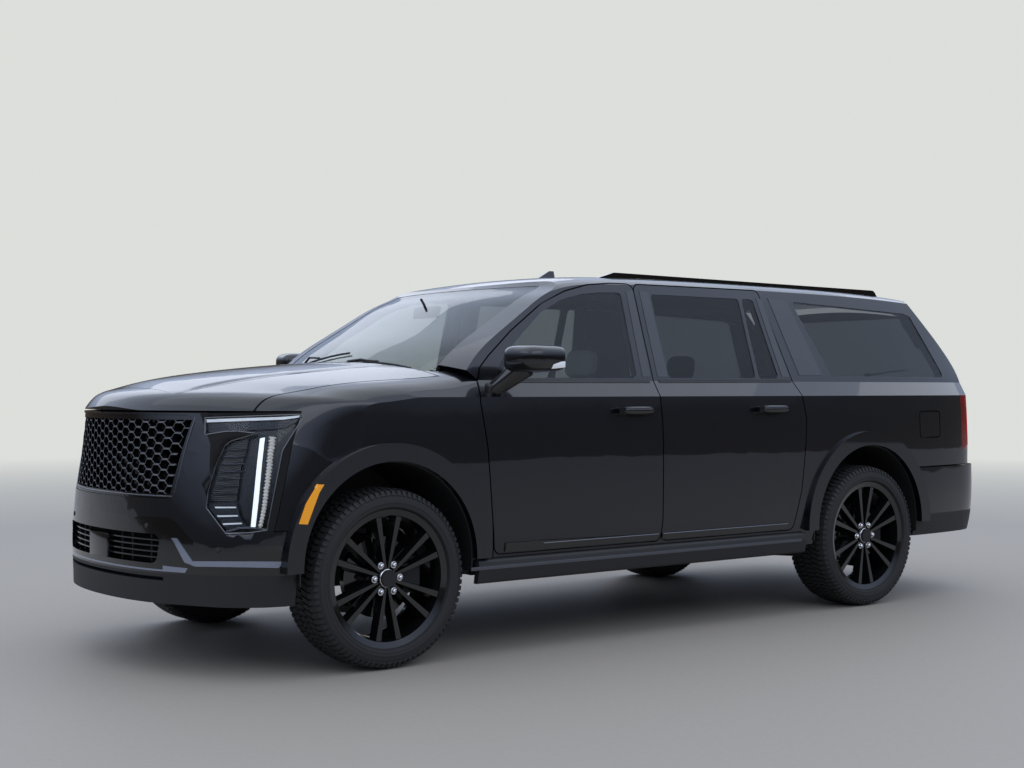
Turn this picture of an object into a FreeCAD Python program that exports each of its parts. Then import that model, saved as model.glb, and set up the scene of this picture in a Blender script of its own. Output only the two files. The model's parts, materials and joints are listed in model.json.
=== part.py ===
"""Full-size sport utility vehicle: hollow body, opening panels, running gear.

Millimetres. X runs rearward, Y to the vehicle's right, Z up. The origin lies on the ground,
under the middle of the length and the width. The right half is modelled and mirrored.
"""
import FreeCAD, Part
import os
from math import cos, hypot, pi, radians, sin, tan

Vector = FreeCAD.Vector

# Overall sizes
length = 5766.0
width = 2059.0
height = 1942.0
wheelbase = 3407.0
front_overhang = 1000.0

# Wheels and tyres
tyre_radius = 419.0
tyre_width = 285.0
tyre_shoulder = 34.0
tyre_bulge = 14.0
tyre_side_inset = 18.0
tyre_fit = 0.3
tyre_wall = 18.0
rim_radius = 322.0
rim_width = 250.0
bead_radius = 304.0
bead_run = 26.0
well_radius = 292.0
well_half = 70.0
flange_wall = 9.0
barrel_wall = 11.0
hub_radius = 92.0
hub_bore = 40.0
hub_dish = 26.0
spoke_dish = 12.0
spoke_depth = 46.0
spoke_root_width = 30.0
spoke_end_width = 46.0
spoke_draft = 9.0
spoke_root_radius = 40.0
spoke_end_inset = 2.0
spoke_lean = 11.0
spoke_count = 6

# Brakes and uprights
disc_radius = 190.0
disc_thickness = 32.0
disc_hat_radius = 96.0
disc_hat_depth = 62.0
disc_clear = 5.0
spindle_fit = 0.3
spindle_length = 130.0
carrier_depth = 46.0
upright_half = 48.0
upright_reach = 150.0
caliper_half = 84.0
caliper_reach = 70.0
caliper_rim = 26.0
caliper_outer = 26.0

# Walls and gaps
door_wall = 70.0
door_skin = 12.0
door_step = 16.0
frame_wall = 46.0
side_wall = 116.0
skin_wall = 26.0
roof_wall = 34.0
hood_wall = 34.0
gate_wall = 66.0
bumper_wall = 44.0
fuel_door_wall = 8.0
glass_wall = 6.0
glass_inset = 3.0
glass_fit = 0.3
panel_gap = 7.0
gate_gap = 9.0
seal_gap = 9.0
seal_lip = 26.0
seat_fit = 0.3
corner_radius = 40.0
overlap = 12.0
overrun = 200.0
least_run = 0.0002

# Wheel openings
arch_side_clearance = 56.0
arch_rise = 70.0
flare_height = 84.0
liner_wall = 6.0
liner_end = 990.0
liner_low = 420.0

# Frame, floor and running gear
kingpin_inset = 62.0
rail_low = 330.0
rail_height = 150.0
rail_width = 82.0
rail_spread = 430.0
crossmember_depth = 120.0
crossmember_height = 70.0
end_beam_depth = 240.0
jack_pad_half = 50.0
jack_pad_side = 30.0
jack_pad_drop = 6.0
floor_wall = 20.0
floor_half = 960.0
tub_half = 560.0
load_floor_height = 780.0
arm_height = 34.0
lower_arm_half = 150.0
upper_arm_half = 90.0
ball_boss = 30.0
axle_shaft_radius = 22.0
shaft_clearance = 18.0
drive_radius = 120.0
drive_width = 260.0
trail_arm_sweep = 240.0
exhaust_radius = 32.0
exhaust_y = 250.0
silencer_half = 120.0
engine_half = 300.0
engine_height = 640.0

# Cabin
steering_radius = 188.0
steering_grip = 15.0
steering_hub = 62.0
steering_hub_depth = 50.0
steering_spoke = 13.0
steering_spoke_angles = (90.0, -90.0, 0.0)
steering_tilt = 64.0
column_radius = 34.0
column_length = 230.0
seat_width = 540.0
seat_depth = 560.0
seat_height = 330.0
seat_back = 150.0
seat_rake = 130.0
headrest_height = 190.0
headrest_width = 260.0
headrest_depth = 95.0
headrest_lean = 30.0

# Outside trim
grille_rim = 22.0
grille_inset = 6.0
grille_depth = 36.0
grille_row_count = 11
grille_bar_height = 13.0
grille_cell_run = 88.0
grille_strut_width = 11.0
grille_least_cell = 30.0
spoiler_wall = 56.0
board_radius = 18.0
roof_rail_half = 17.0
mirror_gap = 18.0
mirror_width = 215.0
mirror_sweep = 45.0
mirror_foot_run = 70.0
mirror_foot_height = 62.0
mirror_round = 26.0
handle_half = 17.0
handle_reach = 62.0
fuel_door_radius = 20.0
antenna_half = 26.0
antenna_top_half = 5.0
antenna_top_run = 34.0
antenna_height = 44.0

# Nose and roof shaping
nose_sweep = 190.0
glass_bow = 110.0
tail_bow = 250.0

front_axle_x = front_overhang - length / 2
rear_axle_x = front_axle_x + wheelbase
rear_overhang = length - front_overhang - wheelbase
axle_height = tyre_radius
half_width = width / 2
wheel_y = half_width - tyre_side_inset - tyre_width / 2
kingpin_y = wheel_y - kingpin_inset
arch_radius = tyre_radius + arch_side_clearance
rail_face = rail_spread + rail_width / 2
floor_height = rail_low + rail_height + seat_fit
tower_height = axle_height + upright_reach + arm_height + seat_fit

# Body wall in plan, nose to tail: station share, half width share, share of the nose sweep
wall_plan_shares = [
    (-1.000, 0.000, 0.08), (-0.978, 0.290, 0.20), (-0.905, 0.544, 0.50), (-0.855, 0.641, 0.62),
    (-0.720, 0.855, 0.85), (-0.600, 0.934, 1.00), (-0.400, 0.964, 0.70), (0.000, 0.977, 0.20),
    (0.235, 0.981, 0.00), (0.500, 0.981, 0.00), (0.822, 0.979, 0.00), (1.000, 0.975, 0.00),
    (1.436, 0.957, 0.00), (1.694, 0.923, 0.00), (1.812, 0.879, 0.00), (1.878, 0.806, 0.00),
    (1.918, 0.583, 0.00), (1.944, 0.290, 0.00), (1.951, 0.000, 0.00)]

# Levels of the wall below the crease: height share, width share, nose sweep share
wall_level_shares = [
    (0.170, 0.958, 0.00), (0.221, 0.975, 0.00), (0.268, 0.990, 0.00), (0.360, 1.000, 0.12),
    (0.463, 1.002, 0.38), (0.566, 0.998, 0.72), (0.648, 0.988, 1.05)]

# Levels of the side above the crease: height share, width share
upper_level_shares = [(0.690, 0.936), (0.772, 0.888), (0.850, 0.842), (0.932, 0.794), (1.000, 0.745)]

hood_ease_share = 0.32
hood_ease_rate = 1.3
hinge_pillar_share = 0.131

# Hood profile back from the nose: share of the hood length, height share
hood_length = 1500.0
hood_profile_shares = [
    (-0.200, 0.500), (-0.050, 0.560), (0.000, 0.626), (0.030, 0.650), (0.100, 0.668), (0.200, 0.685),
    (0.347, 0.7035), (0.533, 0.7194), (0.733, 0.7322), (1.000, 0.7420)]
# Fall of the hood towards the side: half width share, share of the full fall
hood_fall = 134.0
hood_fall_shares = [
    (0.000, 0.00), (0.243, 0.008), (0.486, 0.06), (0.680, 0.16), (0.816, 0.32), (0.894, 0.47),
    (0.947, 0.75), (0.971, 1.00), (1.020, 1.60)]

# Roof along the middle: station share, height share; and its fall across
roof_profile_shares = [
    (0.040, 0.9300), (0.150, 0.9370), (0.240, 0.9440), (0.308, 0.9530), (0.340, 0.9670), (0.390, 0.9820),
    (0.452, 0.9900), (0.587, 0.9944), (0.822, 0.9939), (1.070, 0.9897), (1.436, 0.9784), (1.600, 0.9680),
    (1.800, 0.9460), (2.150, 0.9150)]
roof_fall_shares = [
    (0.000, 0.0000), (0.389, 0.0036), (0.622, 0.0103), (0.719, 0.0200), (0.762, 0.0330),
    (0.800, 0.0520), (0.860, 0.0850), (0.940, 0.1350), (1.020, 0.1900)]
roof_front_fall_share = 0.6
roof_front_stations = (0.235, 0.452)

# Windshield up its middle: height share, station share
windshield_row_shares = (-1.00, -0.66, -0.33, 0.0, 0.33, 0.66, 1.00)
windshield_half_share = 0.708
windshield_slant = 1.6
windshield_profile_shares = [
    (0.660, 0.062), (0.690, 0.075), (0.736, 0.101), (0.780, 0.134), (0.824, 0.176), (0.875, 0.226),
    (0.917, 0.270), (0.948, 0.309), (1.030, 0.345)]

# Tail up its middle: height share, station share
tail_profile_shares = [
    (0.100, 1.950), (0.230, 1.954), (0.360, 1.956), (0.463, 1.956), (0.528, 1.950), (0.600, 1.942),
    (0.659, 1.929), (0.700, 1.902), (0.760, 1.835), (0.902, 1.626), (0.960, 1.538), (1.030, 1.430)]
tail_bow_shares = [
    (0.000, 0.00), (0.291, 0.048), (0.583, 0.20), (0.777, 0.42), (0.855, 0.60), (0.923, 0.78),
    (1.000, 1.10), (1.050, 1.40)]

# Side outlines: station share, height share
front_door_shares = [
    (0.177, 0.255), (0.172, 0.338), (0.163, 0.521), (0.152, 0.641), (0.158, 0.685), (0.166, 0.721),
    (0.186, 0.752), (0.235, 0.817), (0.303, 0.893), (0.353, 0.929), (0.402, 0.950), (0.451, 0.958),
    (0.496, 0.959), (0.499, 0.651), (0.502, 0.561), (0.502, 0.306), (0.499, 0.255)]
front_door_edge_start = 12
rear_door_tail_shares = [
    (0.784, 0.961), (0.820, 0.693), (0.827, 0.656), (0.836, 0.577), (0.832, 0.494), (0.823, 0.370),
    (0.813, 0.313), (0.804, 0.255)]
front_window_shares = [
    (0.192, 0.696), (0.207, 0.742), (0.249, 0.803), (0.297, 0.869), (0.342, 0.906), (0.384, 0.924),
    (0.426, 0.932), (0.468, 0.934), (0.466, 0.698)]
rear_window_shares = [(0.534, 0.699), (0.532, 0.934), (0.768, 0.934), (0.789, 0.699)]
rear_window_bar_shares = (0.733, 0.741)
quarter_window_shares = [(0.864, 0.934), (1.435, 0.914), (1.482, 0.905), (1.650, 0.707), (0.926, 0.707)]
window_radius = 22.0
body_side_shares = [
    (0.131, 0.205), (0.131, 0.760), (0.240, 1.040), (1.800, 1.040), (2.050, 0.750), (2.050, 0.4215),
    (1.190, 0.4215), (1.190, 0.205)]
nose_end_share = -0.300
front_end_share = 0.250
side_start_share = 0.645
form_start_share = 0.580
fender_zone_shares = [
    (0.050, 0.100), (0.178, 0.100), (0.173, 0.338), (0.164, 0.521), (0.153, 0.641), (0.158, 0.690),
    (0.150, 0.702), (0.130, 0.730), (0.050, 0.730)]
fender_zone_side_share = 0.700
fender_shares = [
    (-0.850, 0.7125), (-0.850, 0.617), (-0.438, 0.617), (-0.494, 0.540), (-0.584, 0.345),
    (-0.440, 0.345), (0.030, 0.300),
    (0.110, 0.205), (0.175, 0.205), (0.170, 0.338), (0.161, 0.521), (0.150, 0.641), (0.155, 0.688),
    (0.147, 0.700), (0.136, 0.7125)]
fender_start_share = 0.60
fender_rear_start_share = 0.72
bumper_side_shares = [
    (-1.200, 0.170), (-1.200, 0.612), (-0.4435, 0.612), (-0.498, 0.540), (-0.588, 0.343), (-0.400, 0.343),
    (-0.300, 0.170)]
lamp_shares = [
    (-1.100, 0.609), (-0.4425, 0.614), (-0.4965, 0.540), (-0.5865, 0.345), (-1.100, 0.345)]
lamp_front_shares = [
    (0.600, 0.640), (0.600, 0.612), (0.672, 0.540), (0.690, 0.480), (0.770, 0.406), (0.868, 0.340),
    (1.100, 0.340), (1.100, 0.640)]

# Outlines and places of the opening panels, trim, frame and cabin
hood_side_shares = [(-1.150, 0.795), (-0.600, 0.795), (-0.389, 0.811), (-0.123, 0.821), (0.045, 0.835)]
hood_rear_shares = [(0.105, 0.838), (0.097, 0.708), (0.072, 0.350), (0.063, 0.000)]
fender_inboard_share = 0.096
hood_edge_share = 0.617
gate_shares = [(0.800, 0.424), (0.815, 0.640), (0.800, 0.690), (0.700, 0.920), (0.640, 1.060)]
gate_front_share = 1.576
gate_window_shares = [(0.700, 0.700), (0.630, 0.860), (0.600, 0.905)]
gate_window_start_share = 1.300
spoiler_shares = [(1.576, 1.060), (1.778, 1.060), (1.778, 0.915), (1.640, 0.900), (1.576, 0.900)]
spoiler_side_share = 0.620
roof_start_share = 0.200
windshield_shares = [(0.722, 0.715), (0.725, 0.735), (0.660, 0.947)]
windshield_end_share = 0.500
grille_shares = [(0.545, 0.412), (0.593, 0.607)]
grille_back_share = -0.500
nose_slab_count = 5
lower_grille_shares = [(0.480, 0.262), (0.500, 0.330)]
lower_grille_back_share = -0.700
rear_bumper_plan_shares = [
    (1.150, 0.972), (1.436, 0.962), (1.694, 0.934), (1.820, 0.895), (1.905, 0.815), (1.958, 0.583),
    (1.988, 0.290), (2.000, 0.000)]
rail_end_shares = (-0.700, 1.830)
crossmember_shares = (-0.600, 0.000, 0.220, 0.520, 0.780, 1.180, 1.550)
jack_pad_shares = (0.259, 0.699)
firewall_share = 0.1425
firewall_top_share = 0.640
load_floor_share = 0.860
load_floor_end_share = 1.870
cowl_shares = [(0.050, 0.6404), (0.050, 0.7125), (0.105, 0.7125), (0.1475, 0.700), (0.1475, 0.6404)]
cowl_half_share = 0.640
dashboard_shares = [(0.149, 0.480), (0.149, 0.690), (0.215, 0.680), (0.262, 0.640), (0.250, 0.480)]
dashboard_half_share = 0.790
engine_shares = (-0.350, 0.090)
exhaust_shares = (0.140, 0.640, 0.800, 1.860)
board_shares = [
    (0.850, 0.190), (0.850, 0.226), (0.930, 0.245), (0.985, 0.243), (0.992, 0.222), (0.975, 0.182)]
board_end_shares = (0.145, 0.832)
roof_rail_shares = [(0.382, 0.940), (0.490, 0.996), (1.340, 0.990), (1.400, 0.940)]
roof_rail_share = 0.631
antenna_shares = (0.467, 0.524)
antenna_root_share = 0.980
mirror_shares = (0.191, 0.249)
mirror_rise_shares = (0.715, 0.779)
mirror_foot_shares = (0.163, 0.196)
mirror_foot_rise_share = 0.648
mirror_root_share = 0.880
front_handle_shares = (0.404, 0.487)
rear_handle_shares = (0.711, 0.793)
handle_rise_share = 0.610
handle_root_share = 0.950
fuel_door_shares = [(1.377, 0.515), (1.377, 0.595), (1.533, 0.595), (1.533, 0.515)]
fuel_start_share = 0.890
tail_lamp_shares = [(1.735, 0.470), (1.735, 0.650), (1.900, 0.650), (1.900, 0.470)]
tail_lamp_start_share = 0.820
moulding_start_share = 0.900
moulding_low_share = 0.248
rear_bumper_level_shares = [(0.200, 0.960), (0.260, 0.990), (0.340, 1.002), (0.4175, 1.000)]
steering_place_shares = (0.302, -0.385, 0.590)

# Seat rows: station share, gap from the middle as a width share, height share of the back
seat_row_shares = [(0.345, 0.150, 0.440), (0.620, 0.150, 0.430)]

# Share of a straight run that one rounded corner may take, and the least turn in degrees
corner_run_share = 0.48
least_turn = 0.5
full_turn = 360


def station(share):
    """X of a station: 0 and 1 are the axles, -1 the front end and 2 the rear end."""
    if share < 0:
        return front_axle_x + share * front_overhang
    if share > 1:
        return rear_axle_x + (share - 1) * rear_overhang
    return front_axle_x + share * wheelbase


def rise(share):
    return share * height


def across(share):
    return share * half_width


def side_places(shares):
    return [(station(along), rise(up)) for along, up in shares]


def mix(low, high, share):
    return low + (high - low) * share


def curve_value(table, place):
    """Straight-line reading of a two-column table."""
    for (first, low), (second, high) in zip(table, table[1:]):
        if place <= second:
            return mix(low, high, (place - first) / (second - first))
    return table[-1][1]


def place_xz(y):
    return lambda u, v: Vector(u, y, v)


def place_xy(z):
    return lambda u, v: Vector(u, v, z)


def place_yz(x):
    return lambda u, v: Vector(x, u, v)


def rounded_wire(places, place, radius=corner_radius):
    """Closed wire of straight runs with tangent arcs; each arc is limited by its two runs."""
    edges = []
    ends = []
    count = len(places)
    for index in range(count):
        before = Vector(*places[index - 1], 0)
        here = Vector(*places[index], 0)
        after = Vector(*places[(index + 1) % count], 0)
        back = before - here
        ahead = after - here
        turn = pi - back.getAngle(ahead)
        room = corner_run_share * min(back.Length, ahead.Length)
        if turn < radians(least_turn) or radius <= 0:
            ends.append((here, None, here))
            continue
        reach = min(radius * tan(turn / 2), room)
        arc_radius = reach / tan(turn / 2)
        start = here + back.normalize() * reach
        end = here + ahead.normalize() * reach
        middle_way = (start + end) / 2 - here
        depth = arc_radius / cos(turn / 2) - arc_radius
        middle = here + middle_way.normalize() * depth
        ends.append((start, middle, end))
    for index in range(count):
        start, middle, end = ends[index]
        if middle is not None:
            edges.append(Part.Arc(*[place(p.x, p.y) for p in (start, middle, end)]).toShape())
        following = ends[(index + 1) % count][0]
        if end.distanceToPoint(following) > least_run:
            run = Part.LineSegment(place(end.x, end.y), place(following.x, following.y))
            edges.append(run.toShape())
    return Part.Wire(edges)


def side_prism(places, low, high, radius=corner_radius):
    """Prism of a side outline between two Y places."""
    face = Part.Face(rounded_wire(places, place_xz(low), radius))
    return face.extrude(Vector(0, high - low, 0))


def front_prism(places, low, high, radius=corner_radius):
    face = Part.Face(rounded_wire(places, place_yz(low), radius))
    return face.extrude(Vector(high - low, 0, 0))


def front_face(places, x, growth, radius):
    """Face of an outline seen from the front, grown evenly by a gap."""
    face = Part.Face(rounded_wire(places, place_yz(x), radius))
    return Part.Face(face.makeOffset2D(growth, 0, False, False, True).Wires[0]) if growth else face


def box(low, high):
    return Part.makeBox(high[0] - low[0], high[1] - low[1], high[2] - low[2], Vector(*low))


def rod(start, end, radius):
    run = Vector(*end) - Vector(*start)
    return Part.makeCylinder(radius, run.Length, Vector(*start), run)


def mirrored(shape):
    return shape.mirror(Vector(0, 0, 0), Vector(0, 1, 0))


def fused(shapes):
    first, *rest = shapes
    return first.fuse(rest) if rest else first


def solids(*shapes):
    return Part.makeCompound([solid for shape in shapes for solid in shape.Solids])


def largest(shape):
    return max(shape.Solids, key=lambda solid: solid.Volume)


def grid_face(rows):
    """Smooth face through rows of points, as a loft of one curve for each row."""
    sections = []
    for row in rows:
        curve = Part.BSplineCurve()
        curve.interpolate(row)
        sections.append(Part.Wire(curve.toShape()))
    return Part.makeLoft(sections, False, False).Faces[0]


def wall_loop(level, inset=0.0):
    """Closed plan curve of the body wall at one level, moved inboard by the inset."""
    up, width_share, sweep_share = level
    half = [(station(along) + sweep * sweep_share * nose_sweep, across(out) * width_share)
            for along, out, sweep in wall_plan_shares]
    loop = half + [(x, -y) for x, y in reversed(half[1:-1])]
    points = []
    for index, (x, y) in enumerate(loop):
        x_before, y_before = loop[index - 1]
        x_after, y_after = loop[(index + 1) % len(loop)]
        run_x, run_y = x_after - x_before, y_after - y_before
        run = hypot(run_x, run_y)
        points.append(Vector(x + run_y / run * inset, y - run_x / run * inset, rise(up)))
    curve = Part.BSplineCurve()
    curve.interpolate(Points=points, PeriodicFlag=True)
    return Part.Wire(curve.toShape())


def wall_volumes(lower_inset=0.0, upper_inset=0.0):
    """Everything inboard of the body's wall: below the crease, the shoulder, above the belt."""
    crease = wall_level_shares[-1]
    lower = [wall_loop(level, lower_inset) for level in wall_level_shares]
    upper = [wall_loop((up, out, crease[2]), upper_inset) for up, out in upper_level_shares]
    below = Part.makeLoft(lower, True, False)
    shoulder = Part.makeLoft([wall_loop(crease, lower_inset), upper[0]], True, True)
    above = Part.makeLoft(upper, True, False)
    return below, shoulder, above


def nose_x(y):
    """X of the nose contour at the hood's edge, for a distance from the middle."""
    nose = [shares for shares in wall_plan_shares if shares[0] <= 0]
    table = [(across(out), station(along) + sweep * nose_sweep) for along, out, sweep in nose]
    return curve_value(table, abs(y))


def spread(half_shares):
    """Rows of a half section and of its mirror image, from the left side to the right."""
    left = [(-share, value) for share, value in reversed(half_shares[1:])]
    return left + list(half_shares)


def hood_cap(inset=0.0):
    """Everything under the hood's and the fenders' upper surface."""
    rows = []
    for out, fall in spread(hood_fall_shares):
        row = []
        for back, up in hood_profile_shares:
            ease = min(1.0, hood_ease_share + hood_ease_rate * back)
            x = nose_x(across(out)) + back * hood_length
            row.append(Vector(x, across(out), rise(up) - fall * hood_fall * ease - inset))
        rows.append(row)
    return grid_face(rows).extrude(Vector(0, 0, -height))


def roof_cap(inset=0.0):
    """Everything under the roof's outer surface."""
    first, last = [station(share) for share in roof_front_stations]
    rows = []
    for out, fall in spread(roof_fall_shares):
        row = []
        for along, up in roof_profile_shares:
            x = station(along)
            front = min(max((last - x) / (last - first), 0.0), 1.0)
            steeper = mix(1.0, roof_front_fall_share, front)
            row.append(Vector(x, across(out), rise(up) - rise(fall) * steeper - inset))
        rows.append(row)
    return grid_face(rows).extrude(Vector(0, 0, -height))


def windshield_cap(inset=0.0):
    """Everything behind the windshield's outer surface."""
    rows = []
    for out in windshield_row_shares:
        bow = glass_bow * (out / windshield_half_share) ** 2
        rows.append([Vector(station(along) + bow + inset, across(out), rise(up))
                     for up, along in windshield_profile_shares])
    return grid_face(rows).extrude(Vector(length, 0, 0))


def tail_cap(inset=0.0):
    """Everything ahead of the tail's outer surface."""
    rows = []
    for out, bow in spread(tail_bow_shares):
        rows.append([Vector(station(along) - bow * tail_bow - inset, across(out), rise(up))
                     for up, along in tail_profile_shares])
    return grid_face(rows).extrude(Vector(-length, 0, 0))


def side_form(lower_inset=0.0, upper_inset=0.0):
    """Right-hand part of the body's form, moved inboard by the insets below and above the belt."""
    half = box((-length, across(form_start_share), 0), (length, width, height + overrun))
    below, shoulder, above = [volume.common(half) for volume in wall_volumes(lower_inset, upper_inset)]
    return below, shoulder, above


def capped(form, upper_inset=0.0, tail_inset=0.0):
    """The side form behind the windshield, under the roof and ahead of the tail."""
    below, shoulder, above = form
    behind = box((station(hinge_pillar_share), -width, 0), (length, width, height))
    above = above.common(windshield_cap(upper_inset * windshield_slant)).common(roof_cap(upper_inset))
    ahead = tail_cap(tail_inset)
    return fused([part.common(ahead) for part in (below.common(behind), shoulder.common(behind), above)])


def grown_prism(places, low, high, growth, radius=corner_radius):
    """Side prism of an outline grown evenly by a gap."""
    wire = rounded_wire(places, place_xz(low), radius)
    face = Part.Face(wire)
    if growth:
        grown = face.makeOffset2D(growth, 0, False, False, True)
        face = Part.Face(grown.Wires[0])
    return face.extrude(Vector(0, high - low, 0))


def arch_prism(axle_x, radius, low, high):
    """Wheel opening: a round top on straight legs that reach the ground."""
    centre = axle_height + arch_rise
    top = Part.makeCylinder(radius, high - low, Vector(axle_x, low, centre), Vector(0, 1, 0))
    legs = box((axle_x - radius, low, -overrun), (axle_x + radius, high, centre))
    return top.fuse(legs).removeSplitter()


def door_outlines():
    """Front and rear door outlines in side view; the rear door starts one gap behind the front."""
    front = side_places(front_door_shares)
    back_edge = [(x + panel_gap, z) for x, z in front[front_door_edge_start:]]
    rear = back_edge[:1] + side_places(rear_door_tail_shares) + back_edge[:0:-1]
    return front, rear


def prism_pair(places, radius=corner_radius, growth=0.0):
    return grown_prism(places, across(side_start_share), half_width + overrun, growth, radius)


def wall_piece(prism, outer, inner):
    """The part of a wall between its outer and inner forms that lies inside a prism."""
    return prism.common(outer).cut(prism.common(inner))


def door_panel(outline, windows, outer, skin_back, back):
    """One door: an overlapping skin on a narrower box, with its windows cut right through."""
    panel = wall_piece(prism_pair(outline), outer, back)
    edge = prism_pair(outline, corner_radius, door_step).cut(prism_pair(outline, corner_radius, -door_step))
    panel = panel.cut(edge.common(skin_back))
    for window in windows:
        panel = panel.cut(prism_pair(window, window_radius))
    return largest(panel)


def pane(outline, glass_outer, glass_inner, radius):
    """Curved pane that fills a window outline with a small fit."""
    prism = grown_prism(outline, across(side_start_share), half_width + overrun, -glass_fit, radius)
    return largest(wall_piece(prism, glass_outer, glass_inner))


def rear_window_places():
    """The rear door's two panes, split by an upright bar."""
    low_front, high_front, high_rear, low_rear = side_places(rear_window_shares)
    bar_front, bar_rear = [station(share) for share in rear_window_bar_shares]
    main = [low_front, high_front, (bar_front, high_front[1]), (bar_front, low_front[1])]
    small = [(bar_rear, low_front[1]), (bar_rear, high_front[1]), high_rear, low_rear]
    return main, small


def body_side(outer, inner, pocket, outlines, windows):
    """Right body side: pillars, cant rail, sill and quarter panel round the door openings."""
    side = wall_piece(prism_pair(side_places(body_side_shares), 0), outer, inner)
    zone_prism = grown_prism(side_places(fender_zone_shares), across(fender_zone_side_share),
                             half_width + overrun, 0, 0)
    side = side.cut(zone_prism)
    for door in outlines:
        side = side.cut(prism_pair(door, corner_radius, panel_gap).cut(pocket))
        side = side.cut(prism_pair(door, corner_radius, -seal_lip))
    side = side.cut(prism_pair(windows, window_radius))
    side = side.cut(gate_prism(gate_gap))
    side = side.cut(windshield_prism(glass_fit))
    side = side.cut(arch_prism(rear_axle_x, arch_radius, across(side_start_share), half_width + overrun))
    side = side.cut(tail_lamp_prism(seat_fit))
    return largest(side)


def gate_prism(growth=0.0, low_share=gate_front_share):
    """Liftgate outline seen from behind, as a prism from its front edge to behind the tail."""
    half = [(across(out), rise(up)) for out, up in gate_shares]
    places = [(y + growth, z) for y, z in half] + [(-y - growth, z) for y, z in reversed(half)]
    places[0] = (places[0][0], places[0][1] - growth)
    places[-1] = (places[-1][0], places[-1][1] - growth)
    return front_prism(places, station(low_share) - growth, length, corner_radius)


def windshield_prism(growth=0.0):
    half = [(across(out), rise(up)) for out, up in windshield_shares]
    places = [(y + growth, z) for y, z in half] + [(-y - growth, z) for y, z in reversed(half)]
    return front_prism(places, -length, station(windshield_end_share), window_radius)


def fender(wall, wall_back, top, top_back):
    """Right front fender: the side skin and its turned-in top, round the wheel opening."""
    prism = grown_prism(side_places(fender_shares), across(fender_start_share), half_width + overrun, 0, 0)
    skin = prism.common(wall).common(top)
    skin = skin.cut(prism.common(wall_back).common(top_back))
    skin = skin.cut(hood_prism(panel_gap))
    inboard = box((station(fender_inboard_share), 0, 0), (0, across(fender_rear_start_share), height))
    skin = skin.cut(inboard)
    skin = skin.cut(arch_prism(front_axle_x, arch_radius, 0, half_width + overrun))
    return largest(skin)


def hood_prism(growth=0.0):
    right = [(station(along), across(out)) for along, out in hood_side_shares + hood_rear_shares]
    places = right + [(x, -y) for x, y in reversed(right[:-1])]
    low = rise(hood_edge_share) - growth
    face = Part.Face(rounded_wire(places, place_xy(low), 0))
    if growth:
        face = Part.Face(face.makeOffset2D(growth, 0, False, False, True).Wires[0])
    return face.extrude(Vector(0, 0, height - low))


def hood(wall, top, top_back):
    """Hood panel: its front edge follows the nose, its underside the top surface."""
    crease = rise(wall_level_shares[-1][0])
    open_top = box((-length, -half_width, crease), (station(front_end_share), half_width, height))
    prism = hood_prism()
    return largest(prism.common(wall.fuse(open_top)).common(top).cut(prism.common(top_back)))


def front_bumper(wall, wall_back):
    """Painted nose, lower bumper and its corners back to the wheel openings."""
    outline = side_places(bumper_side_shares)
    shell = wall_piece(side_prism(outline, -half_width - overrun, half_width + overrun, 0), wall, wall_back)
    shell = shell.cut(grille_prism(seat_fit)).cut(lower_grille_prism(0))
    for lamp in (lamp_prism(seat_fit), mirrored(lamp_prism(seat_fit))):
        shell = shell.cut(lamp)
    shell = shell.cut(arch_prism(front_axle_x, arch_radius, -half_width - overrun, half_width + overrun))
    return largest(shell)


def grille_prism(growth=0.0):
    half = [(across(out), rise(up)) for out, up in grille_shares]
    low, high = half[0][1], half[-1][1]
    places = [(y + growth, z) for y, z in half] + [(-y - growth, z) for y, z in reversed(half)]
    places = [(y, z + growth if z == high else z - growth) for y, z in places]
    return front_prism(places, -length, station(grille_back_share), corner_radius)


def lower_grille_prism(growth):
    half = [(across(out) + growth, rise(up)) for out, up in lower_grille_shares]
    places = half + [(-y, z) for y, z in reversed(half)]
    return front_prism(places, -length, station(lower_grille_back_share), corner_radius)


def lamp_prism(growth=0.0):
    """Region of the right headlamp, from its outlines in side view and in front view."""
    outline = side_places(lamp_shares)
    side = grown_prism(outline, across(lamp_front_shares[0][0]) - overlap, half_width + overrun, growth, 0)
    front = front_face([(across(out), rise(up)) for out, up in lamp_front_shares], -length, growth, 0)
    return side.common(front.extrude(Vector(length, 0, 0)))


def nose_slab(inset, depth):
    """Slab that follows the nose between the headlamps, from an inset to its depth."""
    rows = []
    for index in range(1 - nose_slab_count, nose_slab_count):
        along, out, sweep = wall_plan_shares[abs(index)]
        side = 1 if index > 0 else -1
        rows.append([Vector(station(along) + sweep * sweep_share * nose_sweep + inset,
                            side * across(out) * width_share, rise(up))
                     for up, width_share, sweep_share in wall_level_shares])
    return grid_face(rows).extrude(Vector(depth, 0, 0))


def grille():
    """Surround and a mesh of staggered cells, cut as one from the nose's wall."""
    low, high = rise(grille_shares[0][1]), rise(grille_shares[1][1])
    inner = grille_prism(-grille_rim)
    pitch = (high - low) / grille_row_count
    half_count = int(across(grille_shares[1][0]) // grille_cell_run) + 1
    cells = []
    for row in range(grille_row_count):
        z = low + row * pitch + grille_bar_height / 2
        shift = (row % 2) * grille_cell_run / 2
        for index in range(-half_count, half_count):
            y = index * grille_cell_run + shift + grille_strut_width / 2
            places = [(y, z), (y + grille_cell_run - grille_strut_width, z),
                      (y + grille_cell_run - grille_strut_width, z + pitch - grille_bar_height),
                      (y, z + pitch - grille_bar_height)]
            cell = front_prism(places, -length, station(grille_back_share), 0).common(inner)
            if cell.Solids and cell.BoundBox.YLength > grille_least_cell:
                cells.append(largest(cell))
    plan = grille_prism().common(nose_slab(grille_inset, grille_depth))
    return largest(plan.cut(Part.makeCompound(cells)))


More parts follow.
